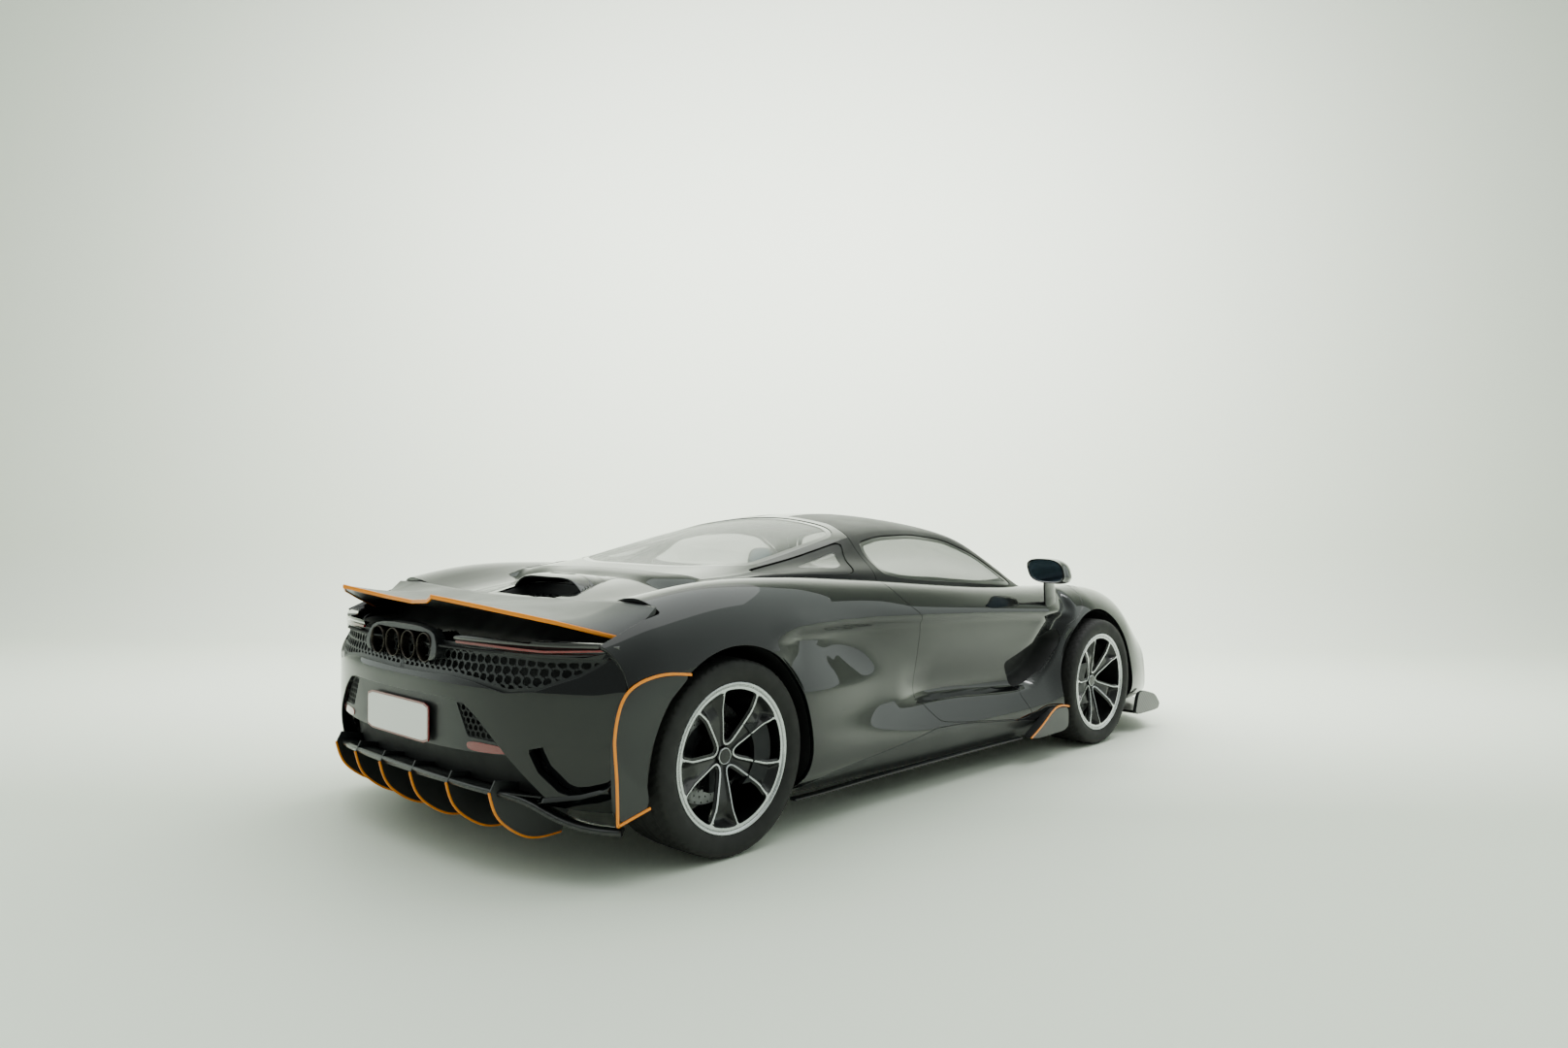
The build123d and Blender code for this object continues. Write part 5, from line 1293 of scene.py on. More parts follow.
def build_disc(x, z, radius, hat, side):
    """A drilled disc with its inner ring and hat, at the solid model's place."""
    y = side * hat
    parts = [place_wheel(drilled_disc(radius), x, side * (hat - 12), z, side)]
    bell = [(0, 30), (0, 70), (-4, 74), (-12, 76), (-14, radius - 76), (-17, radius - 76), (-30, radius - 76),
            (-30, 70), (-8, 66), (-8, 30)]
    for near, low, high in ((-20, radius - DISC_BAND, radius), (-24, radius - 70, radius - 2)):
        parts.append(lathe([(near, low), (near, high), (-32, high), (-32, low)], x, y, z, side, 96, True))
    parts.insert(2, lathe(bell, x, y, z, side, 96, True).marked(1))
    return joined(*parts)


BLADE_Y = 939.0
SILL_BLADE_Y = 957


def blade_face(x, z):
    """Half width of the blade behind the rear wheel: flat below, and lying on the flank above."""
    return np.maximum(BLADE_Y, half_width(x, z) + 6)


def blade_cover(outline, side):
    """The blade's outer face where it lies on the flank."""
    x, z = np.meshgrid(np.arange(-2000, -1640, 9.0), np.arange(190, 690, 9.0), indexing="ij")
    s = sheet(x, side * (blade_face(x, z) - 1), z, (0, side, 0))
    return plate(trimmed(s, in_side_view(outline)), 26.0, 3.0)


def wing_surface():
    """Upper and lower skins of the wing: a swept tray whose rear edge rises to two points."""
    y = np.unique(np.concatenate([np.linspace(-WING_HALF, WING_HALF, 161), [-322, 322]]))[:, None]
    a = np.abs(y)
    (lead_x, lead_z), (trail_x, trail_z) = wing_spans(a)
    v = np.linspace(0, 1, 23)[None, :]
    dip = 16 * np.sin(np.pi * v) * step(WING_HALF, 640, a)
    z = lead_z + (trail_z - lead_z) * v - dip + 5 * v**4
    top = np.stack(np.broadcast_arrays(lead_x + (trail_x - lead_x) * v, y, z), -1)
    deep = WING_THICKNESS * np.sin(np.pi * np.clip(v * 0.9 + 0.1, 0, 1))**0.6 * (1 - v)**0.25 + 7
    return top, top - deep[..., None] * [0, 0, 1]


def closed_pair(top, low):
    """A closed shell from an upper and a lower grid."""
    ends = [grid(np.stack([top[row], low[row]], 0), turn=row != 0) for row in (0, -1)]
    return outward(joined(grid(np.concatenate([top, low[:, ::-1]], 1), closed_v=True), *ends))


def edge_strip(line, width, wall, out):
    """A thin band along a line: its section is a small rounded rectangle."""
    w, h = width / 2, wall / 2
    section = [(-w, -h * 0.5), (-w * 0.7, -h), (w * 0.7, -h), (w, -h * 0.5), (w, h * 0.5), (w * 0.7, h),
               (-w * 0.7, h), (-w, h * 0.5)]
    return sweep(line, section, up=out)


RAMP_START = -1250
FIN_SPACING = 222.0
FIN = [(-2244, 286), (-2215, 205), (-2160, 150), (-2090, 112), (-2040, 104), (-1965, 106), (-1930, 190),
       (-1930, 250), (-2120, 300), (-2225, 322)]


def fin_shift(y):
    """Fins follow the curve of the lip: those further out stand further forward."""
    return 34.5 * (abs(y) / 500.0)**2


def build_diffuser():
    """Ramp of the diffuser, its six fins, and the coloured strips on their edges."""
    t = np.linspace(0, 1, 60)[:, None]
    y = np.linspace(-700, 700, 81)
    x = RAMP_START + (end_x(y, True) + 6 - RAMP_START) * t
    ramp = sheet(x, y, 150 + 130 * t**1.7, (0, 0, -1))
    fins, strips = [], []
    line = smooth_line(np.array(FIN[:6], float), 40)
    for k in range(6):
        y = (k - 2.5) * FIN_SPACING
        shift = [fin_shift(y), 0]
        fins.append(slab(np.concatenate([line, FIN[6:]]) + shift, y - 3.5, y + 3.5, (0, 2), 1.0))
        edge = np.insert(line + shift - 1.0, 1, y, axis=1)
        strips.append(edge_strip(edge, 9.0, 7.0, (0, 1, 0)))
    return plate(ramp, 5.0, 0.6), joined(*fins), joined(*strips)


def lip_line():
    """Rear edge of the diffuser, from the left end to the right."""
    half = smooth_line([(0, 0, 292), (300, 0, 288), (531, 0, 276), (660, 0, 258), (757, 0, 214),
                        (850, 0, 186), (930, 0, 178)], 60)
    right = np.stack([end_x(half[:, 0], True), half[:, 0], half[:, 2]], 1)
    return np.concatenate([(right * [1, -1, 1])[::-1], right[1:]])


# ---- tail, nose and cabin pieces -------------------------------------------------------------
def tail_slice(outline, depth, gap=0.0, wall=6.0, size=9.0, rear=True):
    """A panel in the tail (or nose): the plan curve set in by depth, cut to a half outline on both sides."""
    top, low = np.max(outline, 0) + 10, np.min(outline, 0) - 10
    s = fascia(depth, rear, (-top[0], top[0]), (low[1], top[1]), size)
    s = cut(s, two_sided(s, outline) - gap)
    return plate(s, wall, 0.8) if wall else s


def closed_half(outline, past=6):
    """A half outline that starts and ends on the centre plane, carried a little past it."""
    return list(outline) + [(-past, outline[-1][1]), (-past, outline[0][1])]


def set_in(extra):
    """Depth of a panel set into the tail."""
    return lambda y, z: tail_depth(y, z) + extra


def pipes():
    """Four tail pipes with rolled lips, dark inside."""
    profile = [(-120, 46), (-12, 46), (-3, 47.5), (0, 49.5), (-3, 51), (-12, 50.5), (-120, 50.5)]
    ring = lathe(profile, 0, 0, 0, 1, 56, True).moved([[0, -1, 0], [1, 0, 0], [0, 0, 1]])
    return joined(*[ring.moved(None, (PIPE_END, k * PIPE_SPACING, PIPE_Z)) for k in (-1.5, -0.5, 0.5, 1.5)])


def bezel():
    """The moulded surround of the pipes: it stands above the lamps' line."""
    s = fascia(lambda _, z: 2 + 14 * step(700, 790, z), True, (-275, 275), (660, 800), 5.0)
    slot = np.hypot(np.maximum(np.abs(s.co[:, 1]) - 1.5 * PIPE_SPACING, 0), s.co[:, 2] - PIPE_Z) - 54
    s = cut(s, np.minimum(within(s.co[:, 1], s.co[:, 2], rounded(PIPE_BEZEL, 2)), slot))
    return plate(s, 44.0, 2.5)


def plate_blank():
    """A blank number plate: white face, dark red border and a plain backing."""
    middle, half_w, half_h = 466, 223.0, 69.5
    parts = []
    for grow, near, far, mark in ((0, 0, 6, 1), (-7, -1.2, 2, 0), (-9, -1.6, 2, 0)):
        w, low, high = half_w + grow, middle - half_h - grow, middle + half_h + grow
        outline = rounded([(-w, low), (w, low), (w, high), (-w, high)], 2, 0.08)
        parts.append(slab(outline, TAIL_X + near, TAIL_X + far, (1, 2), 1.0).marked(mark))
    return joined(*parts)


def wing_bay():
    """Dark tray under the wing."""
    y = np.linspace(-868, 868, 61)[:, None]
    (lead_x, lead_z), (trail_x, _) = wing_spans(np.abs(y))
    t = np.linspace(0, 1, 13)
    x = lead_x + 12 + (np.maximum(trail_x, end_x(y, True) + 14) - lead_x - 12) * t
    z = 738 + (lead_z - 778) * (1 - step(0.0, 0.3, t))
    return plate(sheet(x, y, z, (0, 0, 1)), 6.0, 0.5)


def liner(wheel, inner_y, side):
    """A wheel arch's liner: half a drum over the tyre, with its inner wall."""
    x0, z0, radius = wheel
    a = np.linspace(-0.55, np.pi + 0.55, 61)[:, None]
    shell = sheet(x0 + radius * np.cos(a), np.linspace(inner_y, 960, 12), z0 + radius * np.sin(a), (0, 0, -1))
    shell = trimmed(shell, lambda x, y, z:
                    np.minimum(half_width(x, np.maximum(z, 112)) - 3 - y, z - LINER_FOOT))
    r = np.linspace(70, radius, 6)
    wall = sheet(x0 + r * np.cos(a), float(inner_y), z0 + r * np.sin(a), (0, 1, 0))
    whole = joined(plate(shell, 3.0, 0.5), plate(cut(wall, wall.co[:, 2] - LINER_FOOT), 3.0, 0.5))
    return whole if side > 0 else whole.other_side()


def hood():
    """Raised outlet in the middle of the engine cover: open to the rear, with louvres across its top."""
    x = np.linspace(-1300, -1610, 38)[:, None]
    t = np.linspace(-1, 1, 51)
    y = t * np.interp(-x, [1300, 1480, 1610], [120, 180, 228])
    lift = 46 * (1 - step(-1600, -1320, x)) * (1 - np.abs(t)**5)
    s = sheet(x, y, top_height(x, y) + lift + 0.5, (0, 0, 1))
    for station in (-1405, -1470, -1535):
        s = trimmed(s, lambda x, y, z: np.hypot(x - station, np.maximum(np.abs(y) - 74, 0) * 0.5) - 9)
    return plate(s, 7.0, 2.0)


def outlet_well():
    """The sunken mesh floor behind the hood."""
    x, y = np.meshgrid(np.arange(-1772, -1500, 8.0), np.arange(-240, 241, 8.0), indexing="ij")
    z = top_height(x, y) - 2 - 40 * step(-6, 26, within(x, y, WELL_LINE))
    s = sheet(x, y, z, (0, 0, 1))
    s = trimmed(s, lambda x, y, z: within(x, y, WELL_LINE) + 8)
    s = trimmed(s, lambda x, y, z: np.maximum(hexagons(x, y, 26.0, 10.0), 30 - within(x, y, WELL_LINE)))
    return plate(s, 3.0, 0.5)


def squarish(angle, power, other=None):
    """Cosine and sine of angles drawn out towards a rounded rectangle."""
    c, s = np.cos(angle), np.sin(angle)
    return np.sign(c) * np.abs(c)**power, np.sign(s) * np.abs(s)**(other or power)


def mirror_shell(side):
    """Mirror housing: a swept drop, flat at its rear face, and its blade-like stalk."""
    u = np.linspace(0, 1, 34)[:, None]
    full = np.sqrt(np.clip(1 - np.clip((u - 0.3) / 0.7, 0, 1)**2.2, 0, 1)) * (0.93 + 0.07 * step(0, 0.3, u))
    shape_y, shape_z = squarish(np.linspace(0, 2 * np.pi, 64, endpoint=False), 0.68)
    rise = 62 * full * shape_z
    y = side * (968 - 14 * u + 104 * full * shape_y - 0.32 * rise)
    pts = np.stack(np.broadcast_arrays(572 + 150 * u, y, 930 - 8 * u + rise), -1)
    centre = np.array([572.0, side * 968.0, 930.0])
    inner = centre + (pts[0] - centre) * 0.9
    face = inner + [7, 0, 0]
    ring = grid(np.stack([face, inner, pts[0]], 0), closed_v=True)
    shell = outward(joined(ring, grid(pts, closed_v=True)))
    glass = facing(fan(face - [2, 0, 0]), (-1, 0, 0))
    path = smooth_line([(668, side * 930, 885), (700, side * 915, 850), (735, side * 900, 800),
                        (752, side * 892, 758)], 18)
    section = circle(1, 20) * [14, 36] * np.linspace(1, 1.35, 18)[:, None, None]
    return shell, glass, sweep(path, section, up=(1, 0, 0))


PAD_ROWS, PAD_COLUMNS = 38, 40


def pad(path, half, thick, bolster=0.0, grooves=(), groove_depth=5.0, ends=0.18, power=0.55):
    """A stuffed pad along a side-view path: a rounded section that closes at both ends.

    The path's points are (x, z). Across it the section is a superellipse of half width half and
    thickness thick; bolster lifts its edges, and a groove is pressed in at each share of the length.
    """
    line = smooth_line(path, PAD_ROWS)
    run = unit(np.gradient(line, axis=0))
    up = run[:, ::-1] * [-1, 1]
    if up[:, 1].mean() < 0 or (abs(up[:, 1].mean()) < 0.35 and up[:, 0].mean() < 0):
        up = -up
    t = np.linspace(0, 1, PAD_ROWS)[:, None]
    close = np.clip(np.minimum(t, 1 - t) / ends, 0, 1)
    close = np.sqrt(np.clip(1 - (1 - close)**2.4, 0, 1))
    cy, cz = squarish(np.linspace(0, 2 * np.pi, PAD_COLUMNS, endpoint=False), power, 0.7)
    top = np.clip(cz, 0, 1)
    y = half * (0.6 + 0.4 * close) * cy * close**0.35
    dent = sum(np.exp(-((t - g) / 0.011)**2) for g in grooves) + 0 * t
    h = thick * 0.5 * close * cz + bolster * close * top * np.abs(y / half)**5
    h = h - groove_depth * dent * top * np.exp(-(np.abs(y / half) / 0.72)**8)
    h = h + thick * 0.10 * (1 - (y / half)**2) * top * close
    pts = np.stack([line[:, :1] + up[:, :1] * h, y, line[:, 1:] + up[:, 1:] * h], -1)
    return outward(tidy(grid(pts, closed_v=True)))


def seat_parts(side):
    """Shell and pads of one seat."""
    parts = {
        "cushion": pad([(-330, 318), (-200, 300), (-40, 308), (90, 345)], 168, 92, 40, (0.3, 0.5, 0.7)),
        "back_pad": pad([(-352, 400), (-390, 560), (-432, 700), (-468, 800)], 165, 78, 42,
                        (0.22, 0.42, 0.62, 0.8)),
        "head_pad": pad([(-470, 800), (-484, 850), (-496, 898)], 92, 62, 6),
        "base_shell": pad([(-310, 248), (-120, 214), (120, 262)], 214, 110, 60, (), 0, 0.12, 0.4),
        "back_shell": pad([(-375, 300), (-432, 520), (-486, 740), (-512, 900)], 205, 60, -50, (), 0, 0.1,
                          0.5),
    }
    return {name: s.moved(None, (0, side * SEAT_Y, 0)) for name, s in parts.items()}


def steering():
    """Steering wheel: a flat-bottomed leather ring, three spokes and a hub with an airbag cover."""
    centre = np.array([400.0, SEAT_Y, 690.0])
    axis = np.array([-0.9135, 0, 0.4067])
    across = np.array([0, 1.0, 0])
    high = np.cross(across, axis)
    a = np.linspace(0, 2 * np.pi, 120, endpoint=False)
    r = 172 - 10 * np.exp(-((a - 1.5 * np.pi) / 0.5)**4)
    path = centre + np.outer(r * np.cos(a), across) + np.outer(r * np.sin(a), high)
    ring = sweep(path, circle(15, 18, 1.15), closed=True, up=axis)
    spokes = []
    for angle, width, end in ((0.05, 22, 164), (np.pi - 0.05, 22, 164), (1.5 * np.pi, 17, 158)):
        way = np.cos(angle) * across + np.sin(angle) * high
        run = centre + np.outer(np.linspace(40, end, 9), way) - np.outer(np.linspace(14, 2, 9), axis)
        spokes.append(sweep(run, circle(1, 16) * [width, 7], up=axis))
    hub = rounded([(-62, -48), (62, -48), (70, 30), (38, 52), (-38, 52), (-70, 30)], 2)
    hub = slab(hub, -22, 10, (0, 1), 5.0).moved(np.stack([across, high, axis], 1), centre)
    shaft = lathe([(0, 0.01), (0, 30), (-70, 24), (-100, 24), (-100, 0.01)], 0, 0, 0, 1, 40)
    shaft = shaft.moved(np.stack([high, axis, across], 1), centre)
    return joined(ring, joined(hub, *spokes, shaft).marked(1))


# ---- settings ----------------------------------------------------------------------------
class SupercarSizes(bpy.types.PropertyGroup):
    """Sizes that a user may change, in metres."""

    panel_gap: bpy.props.FloatProperty(
        name="Panel gap", description="Gap between neighbouring body panels", default=0.004, min=0.001,
        unit="LENGTH")
    panel_wall: bpy.props.FloatProperty(
        name="Panel wall", description="Thickness of a body panel", default=0.016, min=0.002, unit="LENGTH")
    glass_border: bpy.props.FloatProperty(
        name="Glass border", description="Width of the black print round a pane", default=0.026, min=0.0,
        unit="LENGTH")
    honeycomb_pitch: bpy.props.FloatProperty(
        name="Honeycomb pitch", description="Distance between neighbouring holes of the tail's panel",
        default=0.034, min=0.01, unit="LENGTH")
    honeycomb_hole: bpy.props.FloatProperty(
        name="Honeycomb hole", description="Half the width of a hole in the tail's panel", default=0.0138,
        min=0.002, unit="LENGTH")
    strip_width: bpy.props.FloatProperty(
        name="Accent strip", description="Height of the coloured strip on the wing", default=0.014, min=0.002,
        unit="LENGTH")


class SupercarColours(bpy.types.PropertyGroup):
    """Colours that a user may change."""

    body: bpy.props.FloatVectorProperty(
        name="Body", description="Body paint", subtype="COLOR", min=0, max=1, default=linear("#0B0D12")[:3])
    accent: bpy.props.FloatVectorProperty(
        name="Accent", description="Strips on the aerodynamic parts", subtype="COLOR", min=0, max=1,
        default=linear("#FF9405")[:3])
    hide: bpy.props.FloatVectorProperty(
        name="Hide", description="Leather of the cabin", subtype="COLOR", min=0, max=1,
        default=linear("#1A1A1B")[:3])
    floor: bpy.props.FloatVectorProperty(
        name="Floor", description="Studio floor", subtype="COLOR", min=0, max=1,
        default=linear("#EEF4E6")[:3])


def settings(context):
    """The panel gap and wall, in millimetres."""
    sizes = context.scene.supercar_sizes
    return sizes.panel_gap / MM, sizes.panel_wall / MM


class SUPERCAR_OT_finishes(bpy.types.Operator):
    """Make the materials and dress the solid parts that stay in view"""

    bl_idname = "supercar.finishes"
    bl_label = "Finishes"

    def execute(self, context):
        mix_finishes(context.scene.supercar_colours)
        looks = {"tub": "carbon", "front_floor": "plastic", "diffuser": "plastic", "luggage_tub": "suede",
                 "engine_block": "cast", "front_suspension": "cast", "rear_suspension": "caliper",
                 "front_knuckle_left": "caliper", "front_knuckle_right": "caliper", "wing_rams": "caliper",
                 "dashboard": "suede"}
        for name, look in looks.items():
            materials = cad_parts[name].data.materials
            for i in range(len(materials)):
                materials[i] = FINISH[look]
            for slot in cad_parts[name].material_slots:
                slot.material = FINISH[look]
        return {"FINISHED"}


class SUPERCAR_OT_body(bpy.types.Operator):
    """Make the painted body panels and both doors' skins"""

    bl_idname = "supercar.body"
    bl_label = "Body panels"

    def execute(self, context):
        gap, wall = settings(context)
        parts = build_body(gap)
        coat = "paint plastic"
        panels = {name: plate(parts[name], wall, 1.6, inner=1) for name in ("front", "rear", "lid", "skirt")}
        make("front_panels", joined(panels["front"], plate(build_nose(), 30, 2.0, inner=1)), coat, "chassis",
             ["body_front"])
        make("rear_panels", panels["rear"], coat, "chassis", ["body_rear"])
        make("luggage_lid_skin", panels["lid"], coat, "luggage_lid", ["luggage_lid"])
        cover = trimmed(parts["cover"], lambda x, y, z: -within(x, y, WELL_LINE))
        make("engine_lid", joined(plate(cover, 8, 1.6), deck_blend(), hood(), outlet_well().marked(1)), coat,
             "chassis", ["engine_cover"])
        make("sill_skirts", panels["skirt"], "satin plastic", "chassis", ["side_skirts"])
        for side, name in SIDES:
            skin = joined(plate(parts["doors"][side], 22, 1.6, inner=1), outlet_pocket(side).marked(1))
            make(f"door_skin_{name}", skin, coat, f"door_{name}", [f"door_{name}"])
        return {"FINISHED"}


class SUPERCAR_OT_arches(bpy.types.Operator):
    """Make the wheel arch liners"""

    bl_idname = "supercar.arches"
    bl_label = "Arch liners"

    def execute(self, context):
        made = []
        for side, _ in SIDES:
            made += [liner(FRONT_ARCH, 535, side), liner(REAR_ARCH, 470, side)]
        make("arch_liners", joined(*made), "plastic", "chassis")
        return {"FINISHED"}


class SUPERCAR_OT_glass(bpy.types.Operator):
    """Make the roof frame, the fixed glass and the doors' glass"""

    bl_idname = "supercar.glass"
    bl_label = "Roof and glass"

    def execute(self, context):
        gap, wall = settings(context)
        border = context.scene.supercar_sizes.glass_border / MM
        parts = glasshouse(gap)
        sides, roof = cut(parts["frame"], below_rail(*parts["frame"].co.T), both=True)
        frame_parts = joined(plate(roof, wall, 1.6, inner=1), plate(sides.marked(2), wall, 0.4, inner=1))
        make("roof_panel", frame_parts, "paint suede pillar",
             "chassis", ["roof_frame"])
        panes = (("windscreen_glass", "screen", "windscreen", in_plan(SCREEN_LINE), "glass gloss"),
                 ("rear_glass", "rear", "rear_window", in_plan(REAR_PANE_LINE), "glass gloss"),
                 ("quarter_glass", "quarter", "quarter_windows", in_side_view(QUARTER_LINE),
                  "side_glass pillar"))
        for name, key, replaced, field, looks in panes:
            make(name, framed_glass(parts[key], field, border), looks, "chassis", [replaced])
        for side, name in SIDES:
            pane = framed_glass(parts[f"pane{side}"], in_side_view(PANE_LINE), border * 0.6)
            make(f"side_glass_{name}", pane, "glass gloss", f"door_{name}", [f"door_glass_{name}"])
            make(f"door_frame_{name}", plate(parts[f"frame{side}"], wall, 1.6, inner=1),
                 "pillar suede", f"door_{name}")
        return {"FINISHED"}


class SUPERCAR_OT_tail(bpy.types.Operator):
    """Make the bumper, the honeycomb panel, the lamps, the plate and the pipes"""

    bl_idname = "supercar.tail"
    bl_label = "Tail"

    def execute(self, context):
        sizes = context.scene.supercar_sizes
        pitch, hole = sizes.honeycomb_pitch / MM, sizes.honeycomb_hole / MM
        coat = "paint plastic"
        make("tail_bumper", plate(build_tail(), 40, 2.0, inner=1), coat, "chassis")
        hexes = mesh_panel(closed_half(HEX_PANEL), set_in(14), pitch, hole, 12.0, 5.0, 7.0)
        make("tail_honeycomb", hexes, "satin", "chassis", ["rear_grille"])
        backing = joined(tail_slice(closed_half(HEX_PANEL), set_in(66), -20, size=15.0),
                         tail_slice(closed_half(RECESS), set_in(72), -14, size=15.0))
        make("tail_backing", backing, "plastic", "chassis")
        blade = tail_slice(rounded(TAIL_LAMP, 2),
                           lambda y, z: tail_depth(y, z) + 4 + 8 * np.cos(z / 7.0), 1.0, 16)
        red = tail_slice(LAMP_STRIP, set_in(-3), 0, 10, size=4.0)
        make("lamp_blades", joined(blade, red.marked(1)), "smoke red", "chassis",
             ["tail_lamps"])
        make("pipe_bezel", bezel(), "satin", "chassis")
        make("tail_pipes", pipes(), "pipe", "chassis", ["exhaust"])
        panel = tail_slice(closed_half(PLATE_PANEL), set_in(16), 0, 0)
        panel = cut(panel, -two_sided(panel, CORNER_MESH))
        make("plate_panel", plate(panel, 8, 1.2), "satin", "chassis")
        corners = mesh_panel(CORNER_MESH, set_in(20), 24.0, 9.4, 2.0, 4.0, 4.6)
        make("corner_mesh", corners, "plastic", "chassis")
        make("reflectors", tail_slice(rounded(REFLECTOR, 2), set_in(13), 0, 8), "red", "chassis")
        make("plate_blank", plate_blank(), "white red", "chassis", ["number_plate"])
        make("wing_tray", wing_bay(), "plastic", "chassis")
        scoop = tail_slice(rounded(SCOOP, 2), set_in(48), -6, 6)
        make("corner_scoops", scoop, "paint", "chassis")
        return {"FINISHED"}


class SUPERCAR_OT_wing(bpy.types.Operator):
    """Make the wing and its coloured strip"""

    bl_idname = "supercar.wing"
    bl_label = "Wing"

    def execute(self, context):
        height = context.scene.supercar_sizes.strip_width / MM
        top, low = wing_surface()
        strip = edge_strip(top[:, -1] + [1.0, 0, -6.0], 6.0, height, (0, 0, 1))
        make("wing_blade", joined(closed_pair(top, low), strip.marked(1)), "satin orange",
             "wing", ["wing"])
        return {"FINISHED"}


class SUPERCAR_OT_diffuser(bpy.types.Operator):
    """Make the diffuser's lip, ramp and fins"""

    bl_idname = "supercar.diffuser"
    bl_label = "Diffuser"

    def execute(self, context):
        ramp, fins, strips = build_diffuser()
        section = [(-3, -9), (6, -12), (26, -14), (58, -6), (62, 2), (34, 8), (10, 10), (-2, 7), (-5, 0)]
        lip = sweep(lip_line() + [4, 0, 4], section)
        make("diffuser_lip", joined(lip, ramp), "carbon", "chassis")
        make("diffuser_fins", joined(fins, strips.marked(1)), "satin orange", "chassis",
             ["diffuser"])
        return {"FINISHED"}


class SUPERCAR_OT_blades(bpy.types.Operator):
    """Make the splitter, the end plates and the blades in front of and behind the wheels"""

    bl_idname = "supercar.blades"
    bl_label = "Aerodynamic blades"

    def execute(self, context):
        both = []
        rears = []
        for side, _ in SIDES:
            rears.append(blade_cover(rounded(REAR_BLADE, 2, 0.15), side))
            line = smooth_line([(-1981, 209), (-1988, 380), (-1992, 549), (-1962, 622), (-1880, 664),
                                (-1795, 672), (-1706, 662)], 70)
            path = np.stack([line[:, 0], side * blade_face(*line.T), line[:, 1]], 1)
            rears.append(edge_strip(path, 9.0, 8.0, (0, side, 0)).marked(1))
            low = smooth_line([(-1981, side * BLADE_Y, 209), (-1915, side * BLADE_Y, 226),
                               (-1850, side * BLADE_Y, 242)], 12)
            rears.append(edge_strip(low, 9.0, 8.0, (0, side, 0)).marked(1))
            near, far = sorted((side * 905, side * SILL_BLADE_Y))
            both.append(slab(rounded(SIDE_BLADE, 2, 0.15), near, far, (0, 2), 3.0))
            line = np.linspace(-1105, 500, 40)
            path = np.stack([line, side * (half_width(line, 150) + 8), np.full(40, 121.0)], 1)
            both.append(sweep(path, [(-16, -5), (14, -5), (16, 0), (14, 5), (-16, 5)]))
            path = smooth_line([(x, side * SILL_BLADE_Y, z + 2) for x, z in SIDE_BLADE[:4]], 40)
            both.append(edge_strip(path, 8.0, 6.0, (0, side, 0)).marked(1))
        coat = "satin orange"
        make("rear_blades", joined(*rears), coat, "chassis", ["aero_blades"])
        make("sill_blades", joined(*both), coat, "chassis")
        edge = smooth_line([(1640, 935), (1900, 880), (2130, 640), (2270, 300), (2298, 0)], 50)
        outline = np.concatenate([edge, (edge * [1, -1])[::-1][1:],
                                  [(1640, -760), (1840, -600), (1840, 600), (1640, 760)]])
        plates = [slab(outline, 98, 114, (0, 1), 3.0)]
        for side, _ in SIDES:
            near, far = sorted((side * 926, side * 946))
            plates.append(slab(rounded(SPLITTER_END, 2, 0.15), near, far, (0, 2), 3.0))
        make("splitter_blade", joined(*plates), "carbon", "chassis", ["front_splitter"])
        return {"FINISHED"}


class SUPERCAR_OT_mirrors(bpy.types.Operator):
    """Make both door mirrors"""

    bl_idname = "supercar.mirrors"
    bl_label = "Mirrors"

    def execute(self, context):
        for side, name in SIDES:
            shell, glass, stalk = mirror_shell(side)
            make(f"mirror_housing_{name}", joined(shell, glass.marked(1), stalk), "gloss mirror",
                 f"door_{name}", [f"mirror_{name}"])
        return {"FINISHED"}


class SUPERCAR_OT_wheels(bpy.types.Operator):
    """Make tyres, spoked rims and drilled discs"""

    bl_idname = "supercar.wheels"
    bl_label = "Wheels"

    def execute(self, context):
        for end, x, dims, disc in (("front", FRONT_AXLE, FRONT_TYRE, (190.0, 829.0)),
                                   ("rear", REAR_AXLE, REAR_TYRE, (185.0, 812.0))):
            for side, name in SIDES:
                body = f"wheel_{end}_{name}"
                tyre, rim = build_wheel(x, dims, side)
                make(f"{end}_tyre_{name}", tyre, "rubber", body, [f"tyre_{end}_{name}"])
                make(f"{end}_rim_{name}", rim, "rim machined", body, [f"rim_{end}_{name}"])
                make(f"{end}_disc_{name}", build_disc(x, dims[0], *disc, side), "disc caliper", body,
                     [f"brake_disc_{end}_{name}"])
        return {"FINISHED"}


class SUPERCAR_OT_cabin(bpy.types.Operator):
    """Make the seats and the steering wheel"""

    bl_idname = "supercar.cabin"
    bl_label = "Cabin"

    def execute(self, context):
        for side, name in SIDES:
            for part, surface in seat_parts(side).items():
                soft = not part.endswith("shell")
                replaced = [f"seat_{name}"] if part == "cushion" else ()
                look = "suede" if soft else "gloss"
                piece = make(f"{part}_{name}", surface, look, "chassis", replaced)
        make("steering_ring", steering(), "leather satin", "steering_wheel", ["steering_wheel"])
        return {"FINISHED"}


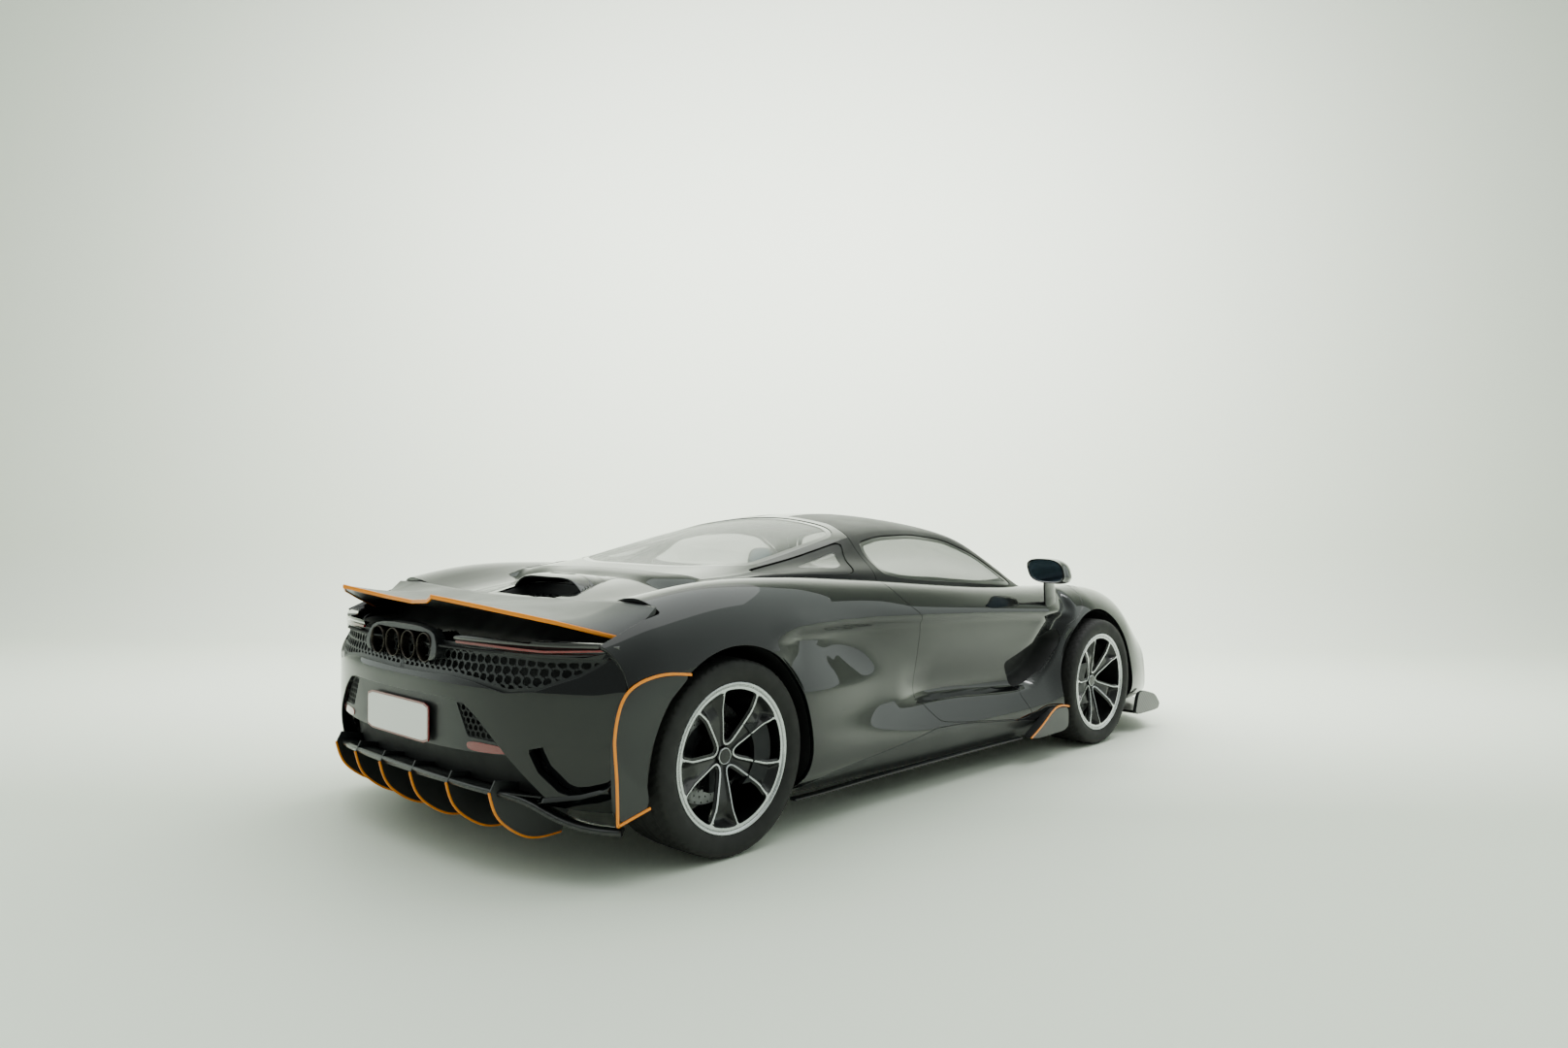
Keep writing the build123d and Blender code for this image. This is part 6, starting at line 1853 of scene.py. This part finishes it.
class SUPERCAR_OT_lamps(bpy.types.Operator):
    """Make the headlamps and the nose's grilles"""

    bl_idname = "supercar.lamps"
    bl_label = "Headlamps and nose"

    def execute(self, context):
        gap, _ = settings(context)
        cover = build_body(gap)["lamp"]
        parts = [plate(cover.shifted(-1), 3, 0.8), plate(cover.shifted(-30), 4, 0.5).marked(1)]
        for side, _ in SIDES:
            path = [(1730, 655), (1850, 680), (1990, 630), (2035, 570)]
            path = smooth_line([(x, side * y, float(top_height(x, y)) - 20) for x, y in path], 40)
            parts.append(sweep(path, circle(7, 12)).marked(2))
        make("headlamp_units", joined(*parts), "clear gloss white", "chassis",
             ["headlamps"])

        grilles = [tail_slice(outline, lambda y, z: 60, -12, 5, rear=False)
                   for outline in (closed_half(NOSE_INTAKE), CORNER_INTAKE)]
        make("nose_grilles", joined(*grilles), "plastic", "chassis")
        return {"FINISHED"}


class SUPERCAR_OT_stage(bpy.types.Operator):
    """Make the studio: floor, wall, soft lights and the camera"""

    bl_idname = "supercar.stage"
    bl_label = "Studio"

    def execute(self, context):
        scene = context.scene
        link = scene.collection.objects.link
        # the floor runs along the view's heading and curves up into the wall
        size, bend, start, top = 14000.0, 900.0, 4200.0, 9000.0
        a = np.linspace(0, np.pi / 2, 16)[1:]
        profile = [(-size, 0), (start, 0)]
        profile += [(start + bend * np.sin(v), bend - bend * np.cos(v)) for v in a] + [(start + bend, top)]
        along, across = np.array([0.7272, 0.6864]), np.array([0.6864, -0.7272])
        rows = [[(*(along * u + across * w), z) for w in (-size, size)] for u, z in profile]
        s = facing(grid(np.array(rows, float)), (*(along * -0.3), 1))
        mesh = bpy.data.meshes.new("studio_floor")
        mesh.from_pydata([tuple(p * MM) for p in s.co], [], s.tri.tolist())
        mesh.shade_smooth()
        mesh.materials.append(FINISH["floor"])
        floor = bpy.data.objects.new("studio_floor", mesh)
        link(floor)
        for name, place, aim, wide, deep, power in LIGHTS:
            light = bpy.data.lights.new(name, "AREA")
            light.shape, light.size, light.size_y, light.energy = "RECTANGLE", wide, deep, power
            lamp = bpy.data.objects.new(name, light)
            way = (Vector(aim) - Vector(place)).normalized()
            lamp.matrix_world = Matrix.Translation(place) @ way.to_track_quat("-Z", "Y").to_matrix().to_4x4()
            link(lamp)
        world = bpy.data.worlds.new("studio_air")
        world.use_nodes = True
        air = world.node_tree
        back = air.nodes["Background"]
        back.inputs["Color"].default_value = linear("#E6F2EA")
        # the studio's far side is bright, and its open side, behind the camera, is dim
        way = node(air, "ShaderNodeTexCoord").outputs["Generated"]
        turned = node(air, "ShaderNodeVectorMath", {0: way}, operation="DOT_PRODUCT")
        turned.inputs[1].default_value = (0.727, 0.686, 0.25)
        glow = spanned(air, turned.outputs["Value"], 0.4, 2.3, -0.7, 0.9, "SMOOTHSTEP")
        air.links.new(glow, back.inputs["Strength"])
        scene.world = world
        lens_data = bpy.data.cameras.new("camera")
        lens_data.lens, lens_data.sensor_width, lens_data.clip_end = CAMERA_LENS, 36.0, 100.0
        camera = bpy.data.objects.new("camera", lens_data)
        yaw, pitch, roll = CAMERA_ANGLES
        d = Vector((math.cos(pitch) * math.cos(yaw), math.cos(pitch) * math.sin(yaw), math.sin(pitch)))
        r = Vector((math.sin(yaw), -math.cos(yaw), 0))
        u = r.cross(d)
        right, up = math.cos(roll) * r + math.sin(roll) * u, -math.sin(roll) * r + math.cos(roll) * u
        turn = Matrix((right, up, -d)).transposed().to_4x4()
        camera.matrix_world = Matrix.Translation(Vector(CAMERA_PLACE) * MM) @ turn
        link(camera)
        scene.camera = camera
        return {"FINISHED"}


CAMERA_PLACE = (-4093.3, -3637.4, 1196.6)
CAMERA_ANGLES = (0.7566, -0.0100, 0.0090)     # yaw, pitch, roll
CAMERA_LENS = 24.91
LIGHTS = (
    ("ceiling_light", (0.2, 0.2, 7.4), (0.2, 0.2, 0), 10.0, 8.5, 330.0),
    ("wall_light", (0.4, 0.4, 4.4), (4.2, 4.0, 2.4), 8.0, 1.6, 900.0),
)
ORDER = (SUPERCAR_OT_finishes, SUPERCAR_OT_body, SUPERCAR_OT_arches, SUPERCAR_OT_glass, SUPERCAR_OT_tail,
         SUPERCAR_OT_wing, SUPERCAR_OT_diffuser, SUPERCAR_OT_blades, SUPERCAR_OT_mirrors, SUPERCAR_OT_wheels,
         SUPERCAR_OT_cabin, SUPERCAR_OT_lamps, SUPERCAR_OT_stage)


class SUPERCAR_PT_panel(bpy.types.Panel):
    """Sizes, colours and pieces of the car"""

    bl_idname = "SUPERCAR_PT_panel"
    bl_label = "Supercar"
    bl_space_type = "VIEW_3D"
    bl_region_type = "UI"
    bl_category = "Supercar"

    def draw(self, context):
        for group in (context.scene.supercar_sizes, context.scene.supercar_colours):
            for name in group.__annotations__:
                self.layout.prop(group, name)
        for operator in ORDER:
            self.layout.operator(operator.bl_idname)


CLASSES = (SupercarSizes, SupercarColours) + ORDER + (SUPERCAR_PT_panel,)


def register():
    """Add the classes and the settings."""
    for cls in CLASSES:
        bpy.utils.register_class(cls)
    bpy.types.Scene.supercar_sizes = bpy.props.PointerProperty(type=SupercarSizes)
    bpy.types.Scene.supercar_colours = bpy.props.PointerProperty(type=SupercarColours)


def unregister():
    """Take them away again."""
    del bpy.types.Scene.supercar_colours
    del bpy.types.Scene.supercar_sizes
    for cls in reversed(CLASSES):
        bpy.utils.unregister_class(cls)


def main():
    """Make the whole scene."""
    register()
    bpy.ops.supercar.finishes()
    bpy.ops.supercar.body()
    bpy.ops.supercar.arches()
    bpy.ops.supercar.glass()
    bpy.ops.supercar.tail()
    bpy.ops.supercar.wing()
    bpy.ops.supercar.diffuser()
    bpy.ops.supercar.blades()
    bpy.ops.supercar.mirrors()
    bpy.ops.supercar.wheels()
    bpy.ops.supercar.cabin()
    bpy.ops.supercar.lamps()
    bpy.ops.supercar.stage()


if __name__ == "__main__":
    main()
